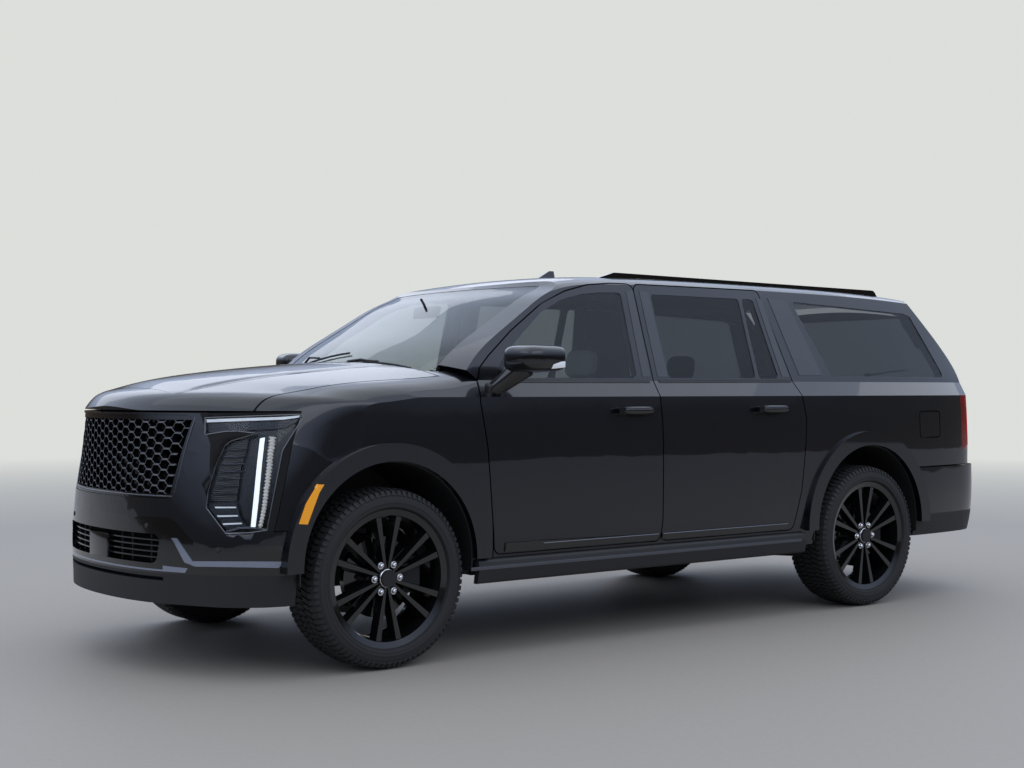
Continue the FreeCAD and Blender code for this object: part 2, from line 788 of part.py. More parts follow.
def rear_bumper_volume(inset):
    levels = []
    for up, width_share in rear_bumper_level_shares:
        right = [(station(along), across(out) * width_share) for along, out in rear_bumper_plan_shares]
        line = [(x, y) for x, y in right] + [(x, -y) for x, y in reversed(right[:-1])]
        points = []
        for index, (x, y) in enumerate(line):
            x_before, y_before = line[max(index - 1, 0)]
            x_after, y_after = line[min(index + 1, len(line) - 1)]
            run_x, run_y = x_after - x_before, y_after - y_before
            run = hypot(run_x, run_y)
            points.append(Vector(x + run_y / run * inset, y - run_x / run * inset, rise(up)))
        curve = Part.BSplineCurve()
        curve.interpolate(points)
        levels.append(Part.Wire([curve.toShape(), Part.makeLine(points[-1], points[0])]))
    return Part.makeLoft(levels, True, False)


def rear_bumper():
    shell = rear_bumper_volume(0).cut(rear_bumper_volume(bumper_wall))
    shell = shell.cut(arch_prism(rear_axle_x, arch_radius, -half_width - overrun, half_width + overrun))
    return largest(shell)


def arch_moulding(axle_x, wall_proud, bumper_proud):
    """Flare round one right wheel opening, seated on the skin of the body and the bumper."""
    ring = arch_prism(axle_x, arch_radius + flare_height, across(moulding_start_share), half_width)
    ring = ring.cut(arch_prism(axle_x, arch_radius, 0, half_width + overrun))
    ring = ring.cut(box((-length, 0, -height), (length, width, rise(moulding_low_share))))
    return largest(ring.cut(wall_proud).cut(bumper_proud))


def wheel_liner(axle_x, start):
    """Thin tub over one right wheel: a round top out to the skin and a wall on its inner side."""
    radius = arch_radius - seat_fit
    outer = arch_prism(axle_x, radius, start, liner_end)
    inner = arch_prism(axle_x, radius - liner_wall, start + liner_wall, liner_end + overrun)
    tub = outer.cut(inner)
    tub = tub.cut(box((-length, 0, -height), (length, width, liner_low)))
    passage = box((axle_x - radius - overlap, start - overlap, 0),
                  (axle_x + radius + overlap, start + overlap, tower_height + seat_fit))
    return largest(tub.cut(passage))


def ladder_frame(nose_limit, tail_limit):
    """Two rails with crossmembers and jacking pads, and end beams that the bumpers seat on."""
    front, rear = station(rail_end_shares[0]), station(rail_end_shares[1])
    high = rail_low + rail_height
    parts = []
    for side in (-1, 1):
        y = side * rail_spread
        parts.append(box((front, y - rail_width / 2, rail_low), (rear, y + rail_width / 2, high)))
        for share in jack_pad_shares:
            x = station(share)
            parts.append(box((x - jack_pad_half, y - jack_pad_side, rail_low - jack_pad_drop),
                             (x + jack_pad_half, y + jack_pad_side, rail_low)))
    for share in crossmember_shares:
        x = station(share)
        parts.append(box((x - crossmember_depth / 2, -rail_spread, rail_low),
                         (x + crossmember_depth / 2, rail_spread, rail_low + crossmember_height)))
    beam_half = rail_spread + rail_width
    front_beam = box((front - end_beam_depth, -beam_half, rail_low), (front, beam_half, high))
    rear_beam = box((rear, -beam_half, rail_low), (rear + end_beam_depth, beam_half, high))
    parts += [front_beam.common(nose_limit), rear_beam.common(tail_limit)]
    shaft_way = rod((rear_axle_x, -half_width, axle_height), (rear_axle_x, half_width, axle_height),
                    axle_shaft_radius + shaft_clearance)
    return largest(fused(parts).cut(shaft_way))


def floor_pan(limit):
    """Cabin floor, footwell wall and raised load floor, out to the sills' inner faces."""
    front = station(firewall_share)
    step = station(load_floor_share)
    rear = station(load_floor_end_share)
    low = floor_height
    main = fused([
        box((front, -floor_half, low), (step, floor_half, low + floor_wall)),
        box((front, -floor_half, low), (front + floor_wall, floor_half, rise(firewall_top_share)))])
    raised = fused([
        box((step - floor_wall, -tub_half, low), (step, tub_half, load_floor_height)),
        box((step - floor_wall, -tub_half, load_floor_height - floor_wall),
            (rear, tub_half, load_floor_height))])
    return largest(main.common(limit).fuse(raised))


def cowl():
    """Trough between the hood's rear edge and the windshield's base."""
    half = across(cowl_half_share)
    return largest(side_prism(side_places(cowl_shares), -half, half, 0).cut(hood_prism(panel_gap)))


def dashboard():
    half = across(dashboard_half_share)
    return side_prism(side_places(dashboard_shares), -half, half, corner_radius)


def steering_centre():
    along, out, up = steering_place_shares
    return Vector(station(along), across(out), rise(up))


def steering_wheel():
    """Rim, hub and three spokes, about the tilted column axis."""
    rim = Part.makeTorus(steering_radius, steering_grip)
    hub = Part.makeCylinder(steering_hub, steering_hub_depth, Vector(0, 0, -steering_hub_depth))
    spokes = [Part.makeCylinder(steering_spoke, steering_radius, Vector(0, 0, -steering_hub_depth / 2),
                                Vector(cos(radians(angle)), sin(radians(angle)), 0))
              for angle in steering_spoke_angles]
    wheel = fused([rim, hub] + spokes)
    wheel.rotate(Vector(0, 0, 0), Vector(0, 1, 0), steering_tilt)
    wheel.translate(steering_centre())
    return wheel


def steering_column():
    direction = Vector(sin(radians(steering_tilt)), 0, cos(radians(steering_tilt)))
    top = steering_centre() - direction * (steering_hub_depth + seat_fit)
    return Part.makeCylinder(column_radius, column_length, top, direction * -1)


def seat(x, y_low, y_high, floor, back_height):
    """Cushion on a base, raked back and headrests, as one closed form."""
    middle = (y_low + y_high) / 2
    cushion = side_prism([(x, floor), (x, floor + seat_height),
                          (x + seat_depth, floor + seat_height - corner_radius),
                          (x + seat_depth, floor)], y_low, y_high)
    back = side_prism([(x + seat_depth - seat_back, floor + seat_height / 2),
                       (x + seat_depth - seat_back + seat_rake, floor + back_height),
                       (x + seat_depth + seat_rake, floor + back_height),
                       (x + seat_depth, floor + seat_height / 2)], y_low, y_high)
    rest_low = floor + back_height - corner_radius
    rests = []
    count = 2 if y_high - y_low > 2 * seat_width else 1
    for index in range(count):
        centre = mix(y_low, y_high, (2 * index + 1) / (2 * count))
        lift = x + seat_depth - seat_back + seat_rake
        rests.append(side_prism([(lift, rest_low), (lift + headrest_lean, rest_low + headrest_height),
                                 (lift + headrest_lean + headrest_depth, rest_low + headrest_height),
                                 (lift + headrest_depth, rest_low)],
                                centre - headrest_width / 2, centre + headrest_width / 2))
    return fused([cushion, back] + rests)


def seats():
    floor = floor_height + floor_wall + seat_fit
    rows = []
    for along, gap_share, back_share in seat_row_shares:
        gap = across(gap_share)
        for side in (-1, 1):
            edges = sorted((side * gap, side * (gap + seat_width)))
            rows.append(seat(station(along), edges[0], edges[1], floor, rise(back_share)))
    return solids(*rows)


def engine():
    low = Vector(station(engine_shares[0]), -engine_half, rail_low + crossmember_height + seat_fit)
    size = (station(engine_shares[1]) - low.x, 2 * engine_half, engine_height)
    return Part.makeBox(*size, low)


def spoke():
    """One spoke up the Z axis: it widens and rises from the hub to the rim, narrower at its face."""
    half = rim_width / 2
    sections = []
    for radius, dish, size in ((spoke_root_radius, hub_dish, spoke_root_width),
                               (well_radius - spoke_end_inset, spoke_dish, spoke_end_width)):
        front, back = half - dish, half - dish - spoke_depth
        face_half, back_half = size / 2 - spoke_draft, size / 2
        corners = [(-back_half, back), (back_half, back), (face_half, front), (-face_half, front)]
        sections.append(Part.makePolygon([Vector(x, y, radius) for x, y in corners + corners[:1]]))
    return Part.makeLoft(sections, True, True)


def rim():
    """Wheel of one piece: barrel, flanges, hub and paired spokes, about the Y axis, facing +Y."""
    half = rim_width / 2
    profile = [
        (rim_radius, -half), (rim_radius, -half + flange_wall), (bead_radius, -half + bead_run),
        (well_radius, -well_half), (well_radius, well_half), (bead_radius, half - bead_run),
        (rim_radius, half - flange_wall), (rim_radius, half), (bead_radius - barrel_wall, half - flange_wall),
        (well_radius - barrel_wall, well_half), (well_radius - barrel_wall, -well_half),
        (bead_radius - barrel_wall, -half + flange_wall)]
    barrel = Part.Face(Part.makePolygon([Vector(r, y, 0) for r, y in profile + profile[:1]]))
    barrel = barrel.revolve(Vector(0, 0, 0), Vector(0, 1, 0), full_turn)
    hub = Part.makeCylinder(hub_radius, spoke_depth, Vector(0, half - hub_dish - spoke_depth, 0),
                            Vector(0, 1, 0))
    spokes = []
    for index in range(spoke_count):
        for lean in (-spoke_lean, spoke_lean):
            turned = spoke()
            turned.rotate(Vector(0, 0, 0), Vector(0, 1, 0), index * full_turn / spoke_count + lean)
            spokes.append(turned)
    wheel = fused([barrel, hub] + spokes)
    bore = Part.makeCylinder(hub_bore, width, Vector(0, -half_width, 0), Vector(0, 1, 0))
    return wheel.cut(bore)


def tyre():
    """Hollow round-shouldered tyre on the rim's bead seats."""
    half = tyre_width / 2
    seat_half = rim_width / 2
    seat_radius = rim_radius + tyre_fit
    bead = bead_radius + tyre_fit
    tread_inner = tyre_radius - tyre_wall
    outside = [
        (bead, bead_run - seat_half), (seat_radius, flange_wall - seat_half), (seat_radius, -seat_half),
        (rim_radius + tyre_bulge, -half), (tyre_radius - tyre_shoulder, tyre_bulge / 2 - half),
        (tyre_radius, tyre_shoulder - half)]
    inside = [
        (bead, bead_run + tyre_wall - seat_half), (rim_radius + tyre_bulge, tyre_wall - half),
        (tread_inner - tyre_shoulder, tyre_wall - half), (tread_inner, tyre_shoulder - half)]
    profile = outside + [(r, -y) for r, y in reversed(outside)]
    profile += [(r, -y) for r, y in inside] + list(reversed(inside))
    face = Part.Face(Part.makePolygon([Vector(r, y, 0) for r, y in profile + profile[:1]]))
    return face.revolve(Vector(0, 0, 0), Vector(0, 1, 0), full_turn)


def brake_disc():
    """Vented disc with its hat, held between the rim's hub and the spindle's flange."""
    foot = Vector(0, rim_width / 2 - hub_dish - spoke_depth - seat_fit - disc_hat_depth, 0)
    hat = Part.makeCylinder(disc_hat_radius, disc_hat_depth, foot, Vector(0, 1, 0))
    disc = Part.makeCylinder(disc_radius, disc_thickness, foot, Vector(0, 1, 0))
    bore = Part.makeCylinder(hub_bore, disc_hat_depth, foot, Vector(0, 1, 0))
    return hat.fuse(disc).cut(bore)


def placed(shape, x, y, facing=1):
    """Copy of a wheel-centred shape at an axle's end; facing -1 turns it to the left side."""
    copy = shape.copy() if facing > 0 else mirrored(shape)
    copy.translate(Vector(x, facing * y, axle_height))
    return copy


def knuckle():
    """Right upright about the wheel centre: spindle, body with ball seats, and caliper."""
    inner_face = rim_width / 2 - hub_dish - spoke_depth - seat_fit - disc_hat_depth - seat_fit
    spindle = Part.makeCylinder(hub_bore - spindle_fit, spindle_length, Vector(0, inner_face - seat_fit, 0),
                                Vector(0, 1, 0))
    carrier = Part.makeCylinder(hub_radius, carrier_depth, Vector(0, inner_face - carrier_depth, 0),
                                Vector(0, 1, 0))
    upright = box((-upright_half, inner_face - carrier_depth, -upright_reach),
                  (upright_half, inner_face - disc_clear, upright_reach))
    return fused([spindle, carrier, upright, caliper(inner_face)])


def caliper(inner_face):
    """Block that straddles the rear of the disc with a running clearance."""
    low = (disc_radius - caliper_reach, inner_face - carrier_depth, -caliper_half)
    high = (disc_radius + caliper_rim, inner_face + disc_thickness + caliper_outer, caliper_half)
    slot = Part.makeCylinder(disc_radius + disc_clear, disc_thickness + 2 * disc_clear,
                             Vector(0, inner_face - disc_clear, 0), Vector(0, 1, 0))
    bridge = box((hub_radius / 2, inner_face - carrier_depth, -caliper_half / 2),
                 (disc_radius - caliper_reach + overlap, inner_face - disc_clear, caliper_half / 2))
    return box(low, high).cut(slot).fuse(bridge)


def front_suspension():
    """Lower and upper arms of both sides, each pair carried by the frame rails, and the rack."""
    arms = []
    ball_y = kingpin_y
    for side in (-1, 1):
        for z, half in ((axle_height - upright_reach - arm_height - seat_fit, lower_arm_half),
                        (axle_height + upright_reach + seat_fit, upper_arm_half)):
            places = [(front_axle_x - half, side * rail_face), (front_axle_x + half, side * rail_face),
                      (front_axle_x + ball_boss, side * ball_y), (front_axle_x - ball_boss, side * ball_y)]
            face = Part.Face(rounded_wire(places, place_xy(z), 0))
            arm = face.extrude(Vector(0, 0, arm_height))
            boss = Part.makeCylinder(ball_boss, arm_height, Vector(front_axle_x, side * ball_y, z))
            arms.append(arm.fuse(boss))
        tower = box((front_axle_x - upper_arm_half, min(side * rail_face, side * (rail_face - rail_width)),
                     rail_low + rail_height),
                    (front_axle_x + upper_arm_half, max(side * rail_face, side * (rail_face - rail_width)),
                     tower_height))
        arms.append(tower)
    return solids(*arms)


def rear_suspension():
    """Final drive, half shafts and the hub carriers with their arms."""
    drive = Part.makeCylinder(drive_radius, drive_width, Vector(rear_axle_x, -drive_width / 2, axle_height),
                              Vector(0, 1, 0))
    carrier_face = wheel_y + rim_width / 2 - hub_dish - spoke_depth - seat_fit - disc_hat_depth - seat_fit
    parts = [drive]
    for side in (-1, 1):
        shaft_end = (rear_axle_x, side * carrier_face, axle_height)
        parts.append(rod((rear_axle_x, 0, axle_height), shaft_end, axle_shaft_radius))
        parts.append(placed(knuckle(), rear_axle_x, wheel_y, side))
        rail_y = side * rail_spread
        hub_y = side * (carrier_face - carrier_depth / 2)
        low_z = axle_height - upright_reach + arm_height / 2
        high_z = axle_height + upright_reach - arm_height / 2
        for end in (rear_axle_x - trail_arm_sweep, rear_axle_x + trail_arm_sweep):
            for z, bracket_low, bracket_high in ((low_z, low_z, rail_low - seat_fit),
                                                 (high_z, rail_low + rail_height + seat_fit, high_z)):
                parts.append(rod((rear_axle_x, hub_y, z), (end, rail_y, z), arm_height / 2))
                parts.append(box((end - arm_height, rail_y - arm_height, bracket_low),
                                 (end + arm_height, rail_y + arm_height, bracket_high)))
    return fused(parts)


def exhaust():
    """Pipe from the engine to the tail with one silencer, hung under the crossmembers."""
    y = exhaust_y
    z = rail_low - exhaust_radius - seat_fit
    start, silencer_start, silencer_end, end = [station(share) for share in exhaust_shares]
    pipe = rod((start, y, z), (end, y, z), exhaust_radius)
    can = box((silencer_start, y - silencer_half, z - exhaust_radius),
              (silencer_end, y + silencer_half, z + exhaust_radius))
    return pipe.fuse(can)


def running_board(wall_proud):
    """Right step along the sill between the wheel openings, seated on the body's skin."""
    places = [(across(out), rise(up)) for out, up in board_shares]
    step = front_prism(places, station(board_end_shares[0]), station(board_end_shares[1]), board_radius)
    return largest(step.cut(wall_proud))


def roof_rail(roof_proud):
    places = side_places(roof_rail_shares)
    y = across(roof_rail_share)
    bar = side_prism(places, y - roof_rail_half, y + roof_rail_half, corner_radius)
    return largest(bar.cut(roof_proud))


def end_edges(shape, y):
    """Edges of a prism's end face at one Y place."""
    return [edge for edge in shape.Edges
            if abs(edge.BoundBox.YMin - y) < seat_fit and abs(edge.BoundBox.YMax - y) < seat_fit]


def antenna(roof_proud):
    """Fin at the middle of the roof, tapered to a short top edge at its rear."""
    front, rear = [station(share) for share in antenna_shares]
    low, high = rise(antenna_root_share), height + antenna_height
    sections = []
    for start, half, z in ((front, antenna_half, low), (rear - antenna_top_run, antenna_top_half, high)):
        corners = [(start, -half), (rear, -half), (rear, half), (start, half)]
        sections.append(rounded_wire(corners, place_xy(z), antenna_top_half / 2))
    return largest(Part.makeLoft(sections, True, True).cut(roof_proud))


def mirror(skin_proud):
    """Door mirror: housing on a foot that rises from the door's skin."""
    low_x, high_x = station(mirror_shares[0]), station(mirror_shares[1])
    low_z, high_z = rise(mirror_rise_shares[0]), rise(mirror_rise_shares[1])
    start = half_width + mirror_gap
    housing = side_prism(
        [(low_x + mirror_sweep, low_z), (low_x, (low_z + high_z) / 2), (low_x + mirror_sweep, high_z),
         (high_x, high_z), (high_x, low_z)], start, start + mirror_width)
    foot_low, foot_high = station(mirror_foot_shares[0]), station(mirror_foot_shares[1])
    foot_z = rise(mirror_foot_rise_share)
    root = across(mirror_root_share)
    foot = front_prism(
        [(root, foot_z), (start, foot_z + mirror_sweep / 2), (start + mirror_foot_run, low_z + mirror_sweep),
         (start, low_z + mirror_sweep), (root, foot_z + mirror_foot_height)],
        foot_low + mirror_sweep, foot_high + mirror_sweep, board_radius)
    housing = housing.makeFillet(mirror_round, end_edges(housing, start + mirror_width))
    whole = housing.fuse(foot)
    for volume in skin_proud:
        whole = whole.cut(volume)
    return largest(whole)


def handle(x_shares):
    """Bridge-shaped door handle, standing off the skin on its two feet."""
    low, high = station(x_shares[0]), station(x_shares[1])
    z = rise(handle_rise_share)
    places = [(low, z - handle_half), (high, z - handle_half), (high, z + handle_half),
              (low, z + handle_half)]
    root = across(handle_root_share)
    return side_prism(places, root, root + handle_reach, handle_half / 2)


def tail_lamp_prism(growth=0.0):
    start = across(tail_lamp_start_share) - growth
    outline = side_places(tail_lamp_shares)
    return grown_prism(outline, start, half_width + overrun, growth, corner_radius / 2)


def build():
    """Every node's shape by name."""
    nodes = {}
    form = side_form()
    outer = capped(form)
    door_back = fused(side_form(door_wall, frame_wall))
    skin_back = fused(side_form(door_skin, door_skin))
    pocket = fused(side_form(door_wall + seal_gap, frame_wall + seal_gap))
    inner_wall = side_wall - door_wall + frame_wall
    inner = capped(side_form(side_wall, inner_wall), inner_wall, gate_wall)
    glass_outer = side_form(0, glass_inset)[2]
    glass_inner = side_form(0, glass_inset + glass_wall)[2]
    proud = wall_volumes(-seat_fit, -seat_fit)
    below = wall_volumes()[0]
    nose = box((-length, -width, 0), (station(nose_end_share), width, height))
    nose_wall = below.common(nose)
    nose_back = wall_volumes(bumper_wall, bumper_wall)[0].common(nose)
    top, top_back = hood_cap(), hood_cap(hood_wall)

    front_outline, rear_outline = door_outlines()
    front_window = side_places(front_window_shares)
    rear_windows = rear_window_places()
    quarter_window = side_places(quarter_window_shares)

    side = body_side(outer, inner, pocket, (front_outline, rear_outline), quarter_window)
    fuel_low = across(fuel_start_share)
    fuel_recess = grown_prism(side_places(fuel_door_shares), fuel_low, half_width + overrun, panel_gap,
                              fuel_door_radius)
    nodes["body_sides"] = solids(side, mirrored(side.cut(fuel_recess)))
    lamp = largest(wall_piece(tail_lamp_prism(), outer, door_back))
    nodes["tail_lamps"] = solids(lamp, mirrored(lamp))
    fuel = grown_prism(side_places(fuel_door_shares), fuel_low, half_width + overrun, 0, fuel_door_radius)
    fuel = wall_piece(fuel, below, wall_volumes(fuel_door_wall, fuel_door_wall)[0])
    nodes["fuel_door"] = mirrored(largest(fuel))

    front_door = door_panel(front_outline, [front_window], outer, skin_back, door_back)
    rear_door = door_panel(rear_outline, rear_windows, outer, skin_back, door_back)
    front_door = front_door.fuse(handle(front_handle_shares))
    rear_door = rear_door.fuse(handle(rear_handle_shares))
    front_glass = pane(front_window, glass_outer, glass_inner, window_radius)
    rear_glass = solids(*[pane(window, glass_outer, glass_inner, window_radius) for window in rear_windows])
    door_mirror = mirror(proud)
    for name, turn in (("left", mirrored), ("right", lambda shape: shape)):
        nodes["front_door_" + name] = turn(front_door)
        nodes["front_door_glass_" + name] = turn(front_glass)
        nodes["door_mirror_" + name] = turn(door_mirror)
        nodes["rear_door_" + name] = turn(rear_door)
        nodes["rear_door_glass_" + name] = turn(rear_glass)
    quarter = pane(quarter_window, glass_outer, glass_inner, window_radius)
    nodes["quarter_glass"] = solids(quarter, mirrored(quarter))

    glass_back = windshield_cap(glass_inset + glass_wall)
    nodes["windshield"] = largest(wall_piece(windshield_prism(), windshield_cap(glass_inset), glass_back))
    roof_half = across(side_start_share) - seat_fit
    roof = box((station(roof_start_share), -roof_half, rise(windshield_shares[2][1]) + glass_fit),
               (station(gate_front_share) - gate_gap, roof_half, height))
    roof = wall_piece(roof, roof_cap(), roof_cap(roof_wall))
    nodes["roof_panel"] = largest(roof.common(windshield_cap()))
    nodes["roof_antenna"] = antenna(roof_cap(-seat_fit))
    front = box((-length, -width, 0), (station(front_end_share), width, height))
    skin = [part.common(front) for part in side_form(skin_wall, skin_wall)]
    flank = [part.common(front) for part in form]
    fender_right = fender(fused(flank), fused(skin), top, hood_cap(skin_wall))
    nodes["front_fenders"] = solids(fender_right, mirrored(fender_right))
    nodes["hood"] = hood(below.common(front), top, top_back)
    nodes["front_bumper"] = front_bumper(nose_wall, nose_back)
    headlamp = largest(wall_piece(lamp_prism(), nose_wall, nose_back))
    nodes["headlamps"] = solids(headlamp, mirrored(headlamp))
    nodes["grille"] = grille()
    nodes["rear_bumper"] = rear_bumper()
    rear_proud = rear_bumper_volume(-seat_fit)
    mouldings = [arch_moulding(x, proud[0], rear_proud) for x in (front_axle_x, rear_axle_x)]
    nodes["wheel_arch_mouldings"] = solids(*mouldings, *[mirrored(piece) for piece in mouldings])
    liners = [wheel_liner(front_axle_x, rail_face - liner_wall),
              wheel_liner(rear_axle_x, tub_half + seat_fit)]
    nodes["wheel_liners"] = solids(*liners, *[mirrored(piece) for piece in liners])

    gate = gate_prism().common(tail_cap()).common(roof_cap())
    gate = gate.cut(gate_prism().common(tail_cap(gate_wall)).common(roof_cap(roof_wall)))
    spoiler_half = across(spoiler_side_share)
    spoiler = side_prism(side_places(spoiler_shares), -spoiler_half, spoiler_half, 0)
    spoiler = wall_piece(spoiler, roof_cap(), roof_cap(spoiler_wall))
    window_half = [(across(out), rise(up)) for out, up in gate_window_shares]
    window_places = window_half + [(-y, z) for y, z in reversed(window_half)]
    window_start = station(gate_window_start_share)
    gate_window = front_prism(window_places, window_start, length, corner_radius)
    gate = gate.fuse(spoiler).cut(gate_window)
    nodes["liftgate"] = largest(gate)
    fit_places = [(y - glass_fit if y > 0 else y + glass_fit, z) for y, z in window_places]
    rear_screen = front_prism(fit_places, window_start, length, corner_radius)
    rear_screen = wall_piece(rear_screen, tail_cap(glass_inset), tail_cap(glass_inset + glass_wall))
    nodes["liftgate_glass"] = largest(rear_screen)

    rail = roof_rail(roof_cap(-seat_fit))
    nodes["roof_rails"] = solids(rail, mirrored(rail))
    board = running_board(proud[0])
    nodes["running_boards"] = solids(board, mirrored(board))
    nose_limit = wall_volumes(bumper_wall + seat_fit)[0]
    nodes["chassis_frame"] = ladder_frame(nose_limit, rear_bumper_volume(bumper_wall + seat_fit))
    nodes["floor_pan"] = floor_pan(wall_volumes(side_wall + seat_fit)[0])
    nodes["cowl"] = cowl()
    nodes["dashboard"] = dashboard().fuse(steering_column())
    nodes["steering_wheel"] = steering_wheel()
    nodes["seats"] = seats()
    nodes["engine"] = engine()
    nodes["front_suspension"] = front_suspension()
    nodes["rear_suspension"] = rear_suspension()
    nodes["exhaust"] = exhaust()

    wheel, tread, disc, carrier = rim(), tyre(), brake_disc(), knuckle()
    for end, x in (("front", front_axle_x), ("rear", rear_axle_x)):
        for name, side_sign in (("left", -1), ("right", 1)):
            nodes[f"{end}_wheel_{name}"] = solids(placed(wheel, x, wheel_y, side_sign),
                                                  placed(disc, x, wheel_y, side_sign))
            nodes[f"{end}_tyre_{name}"] = placed(tread, x, wheel_y, side_sign)
            if end == "front":
                nodes["knuckle_" + name] = placed(carrier, x, wheel_y, side_sign)
    return nodes


os.makedirs("parts", exist_ok=True)
for node_name, node_shape in build().items():
    node_shape.exportStep(f"parts/{node_name}.step")
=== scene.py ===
"""Looks of a full-size sport utility vehicle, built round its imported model.

Metres, in the model's own frame: X rearward, Y to the vehicle's right, Z up.
"""
import json
import math

import bmesh
import bpy
from mathutils import Matrix, Vector
from mathutils.bvhtree import BVHTree


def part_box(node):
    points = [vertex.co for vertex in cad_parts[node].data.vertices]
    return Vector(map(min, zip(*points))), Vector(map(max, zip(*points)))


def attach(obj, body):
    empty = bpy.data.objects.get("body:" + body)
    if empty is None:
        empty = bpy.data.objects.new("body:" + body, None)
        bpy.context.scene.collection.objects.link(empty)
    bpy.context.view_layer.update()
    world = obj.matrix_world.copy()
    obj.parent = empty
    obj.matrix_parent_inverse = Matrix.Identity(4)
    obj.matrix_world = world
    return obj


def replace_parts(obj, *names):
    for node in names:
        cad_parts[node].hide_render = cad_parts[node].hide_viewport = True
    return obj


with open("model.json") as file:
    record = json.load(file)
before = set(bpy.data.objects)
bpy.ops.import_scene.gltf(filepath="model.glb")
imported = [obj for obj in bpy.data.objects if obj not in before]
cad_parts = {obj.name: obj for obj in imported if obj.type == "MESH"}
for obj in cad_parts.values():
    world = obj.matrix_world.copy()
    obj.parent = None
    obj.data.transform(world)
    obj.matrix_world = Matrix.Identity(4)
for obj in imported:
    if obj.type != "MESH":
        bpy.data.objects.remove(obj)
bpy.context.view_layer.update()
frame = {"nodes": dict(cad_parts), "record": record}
nodes = frame["nodes"]

FRONT_AXLE = -1.883
REAR_AXLE = 1.524
AXLE_Z = 0.419
WHEEL_Y = 0.869
BODY, GATE = "vehicle_body", "liftgate_assembly"
IMAGE_WIDTH = 1024
IMAGE_HEIGHT = 768
FOCAL = 1518.18


# Camera at the photograph's viewing angle
def view_matrix():
    yaw, pitch, roll = 0.912499, 0.002742, -0.000864
    forward = Vector((math.cos(yaw) * math.cos(pitch), math.sin(yaw) * math.cos(pitch), math.sin(pitch)))
    right = forward.cross(Vector((0, 0, 1))).normalized()
    up = right.cross(forward)
    turn = Matrix.Rotation(roll, 3, forward)
    right, up = turn @ right, turn @ up
    matrix = Matrix((right, up, -forward)).transposed().to_4x4()
    matrix.translation = Vector((-3.85061 + FRONT_AXLE, -6.89205, 1.30109))
    return matrix


VIEW = view_matrix()


def add_camera():
    data = bpy.data.cameras.new("camera")
    data.sensor_width = 36.0
    data.lens = data.sensor_width * FOCAL / IMAGE_WIDTH
    data.clip_end = 200.0
    camera = added("camera", data)
    camera.matrix_world = VIEW
    bpy.context.scene.camera = camera


# Materials
GRAIN_DEPTH = 0.001
FLAKES_PER_METRE = 1400.0


def material(name, colour, roughness=0.5, metallic=0.0, **sockets):
    """A principled material; further sockets are given by their names with underscores."""
    made = bpy.data.materials.new(name)
    made.use_nodes = True
    shader = made.node_tree.nodes["Principled BSDF"]
    shader.inputs["Base Color"].default_value = (*colour, 1.0)
    shader.inputs["Roughness"].default_value = roughness
    shader.inputs["Metallic"].default_value = metallic
    for key, value in sockets.items():
        shader.inputs[key.replace("_", " ")].default_value = value
    return made


def node_of(made, kind, **values):
    """A node with these attributes and inputs; a (node, output) is linked, Input_0 is the first input."""
    node = made.node_tree.nodes.new("ShaderNode" + kind)
    for key, value in values.items():
        if key.islower():
            setattr(node, key, value)
            continue
        socket = int(key[6:]) if key.startswith("Input_") else key.replace("_", " ")
        if isinstance(value, tuple) and isinstance(value[0], bpy.types.Node):
            link(made, value, node, socket)
        else:
            node.inputs[socket].default_value = value
    return node


def link(made, source, target, socket):
    node, output = source
    made.node_tree.links.new(node.outputs[output], target.inputs[socket])


def place_in(made):
    return node_of(made, "TexCoord"), "Object"


def grained(made, scale, strength, spread=0.1):
    """Fine noise in the roughness and the bump."""
    shader = made.node_tree.nodes["Principled BSDF"]
    base = shader.inputs["Roughness"].default_value
    noise = node_of(made, "TexNoise", Scale=scale, Detail=3.0, Vector=place_in(made))
    bump = node_of(made, "Bump", Strength=strength, Distance=GRAIN_DEPTH, Height=(noise, "Fac"))
    link(made, (bump, "Normal"), shader, "Normal")
    ramp = node_of(made, "MapRange", To_Min=max(base - spread, 0.0), To_Max=min(base + spread, 1.0),
                   Value=(noise, "Fac"))
    link(made, (ramp, "Result"), shader, "Roughness")
    return made


def paint(name, colour, flake, roughness=0.32):
    """Metallic paint: flakes that vary the colour under a clear coat."""
    made = material(name, colour, roughness, 0.55, Coat_Weight=1.0, Coat_Roughness=0.025, Coat_IOR=1.5)
    cells = node_of(made, "TexVoronoi", Scale=FLAKES_PER_METRE, Vector=place_in(made))
    ramp = node_of(made, "MapRange", From_Min=0.55, From_Max=1.0, Value=(cells, "Color"))
    blend = node_of(made, "Mix", data_type="RGBA", Input_0=(ramp, "Result"), Input_6=(*colour, 1.0),
                    Input_7=(*flake, 1.0))
    link(made, (blend, 2), made.node_tree.nodes["Principled BSDF"], "Base Color")
    return made


def glass(name, colour, index):
    return material(name, colour, 0.0, 0.0, Transmission_Weight=1.0, IOR=index)


def glowing(name, colour, strength, roughness):
    return material(name, colour, roughness, Emission_Color=(*colour, 1.0), Emission_Strength=strength)


def ribbed(made, scale, depth, strength=0.6):
    """Fine level ribs as bump."""
    waves = node_of(made, "TexWave", wave_type="BANDS", bands_direction="Z", Scale=scale,
                    Vector=place_in(made))
    bump = node_of(made, "Bump", Strength=strength, Distance=depth, Height=(waves, "Fac"))
    link(made, (bump, "Normal"), made.node_tree.nodes["Principled BSDF"], "Normal")
    return made


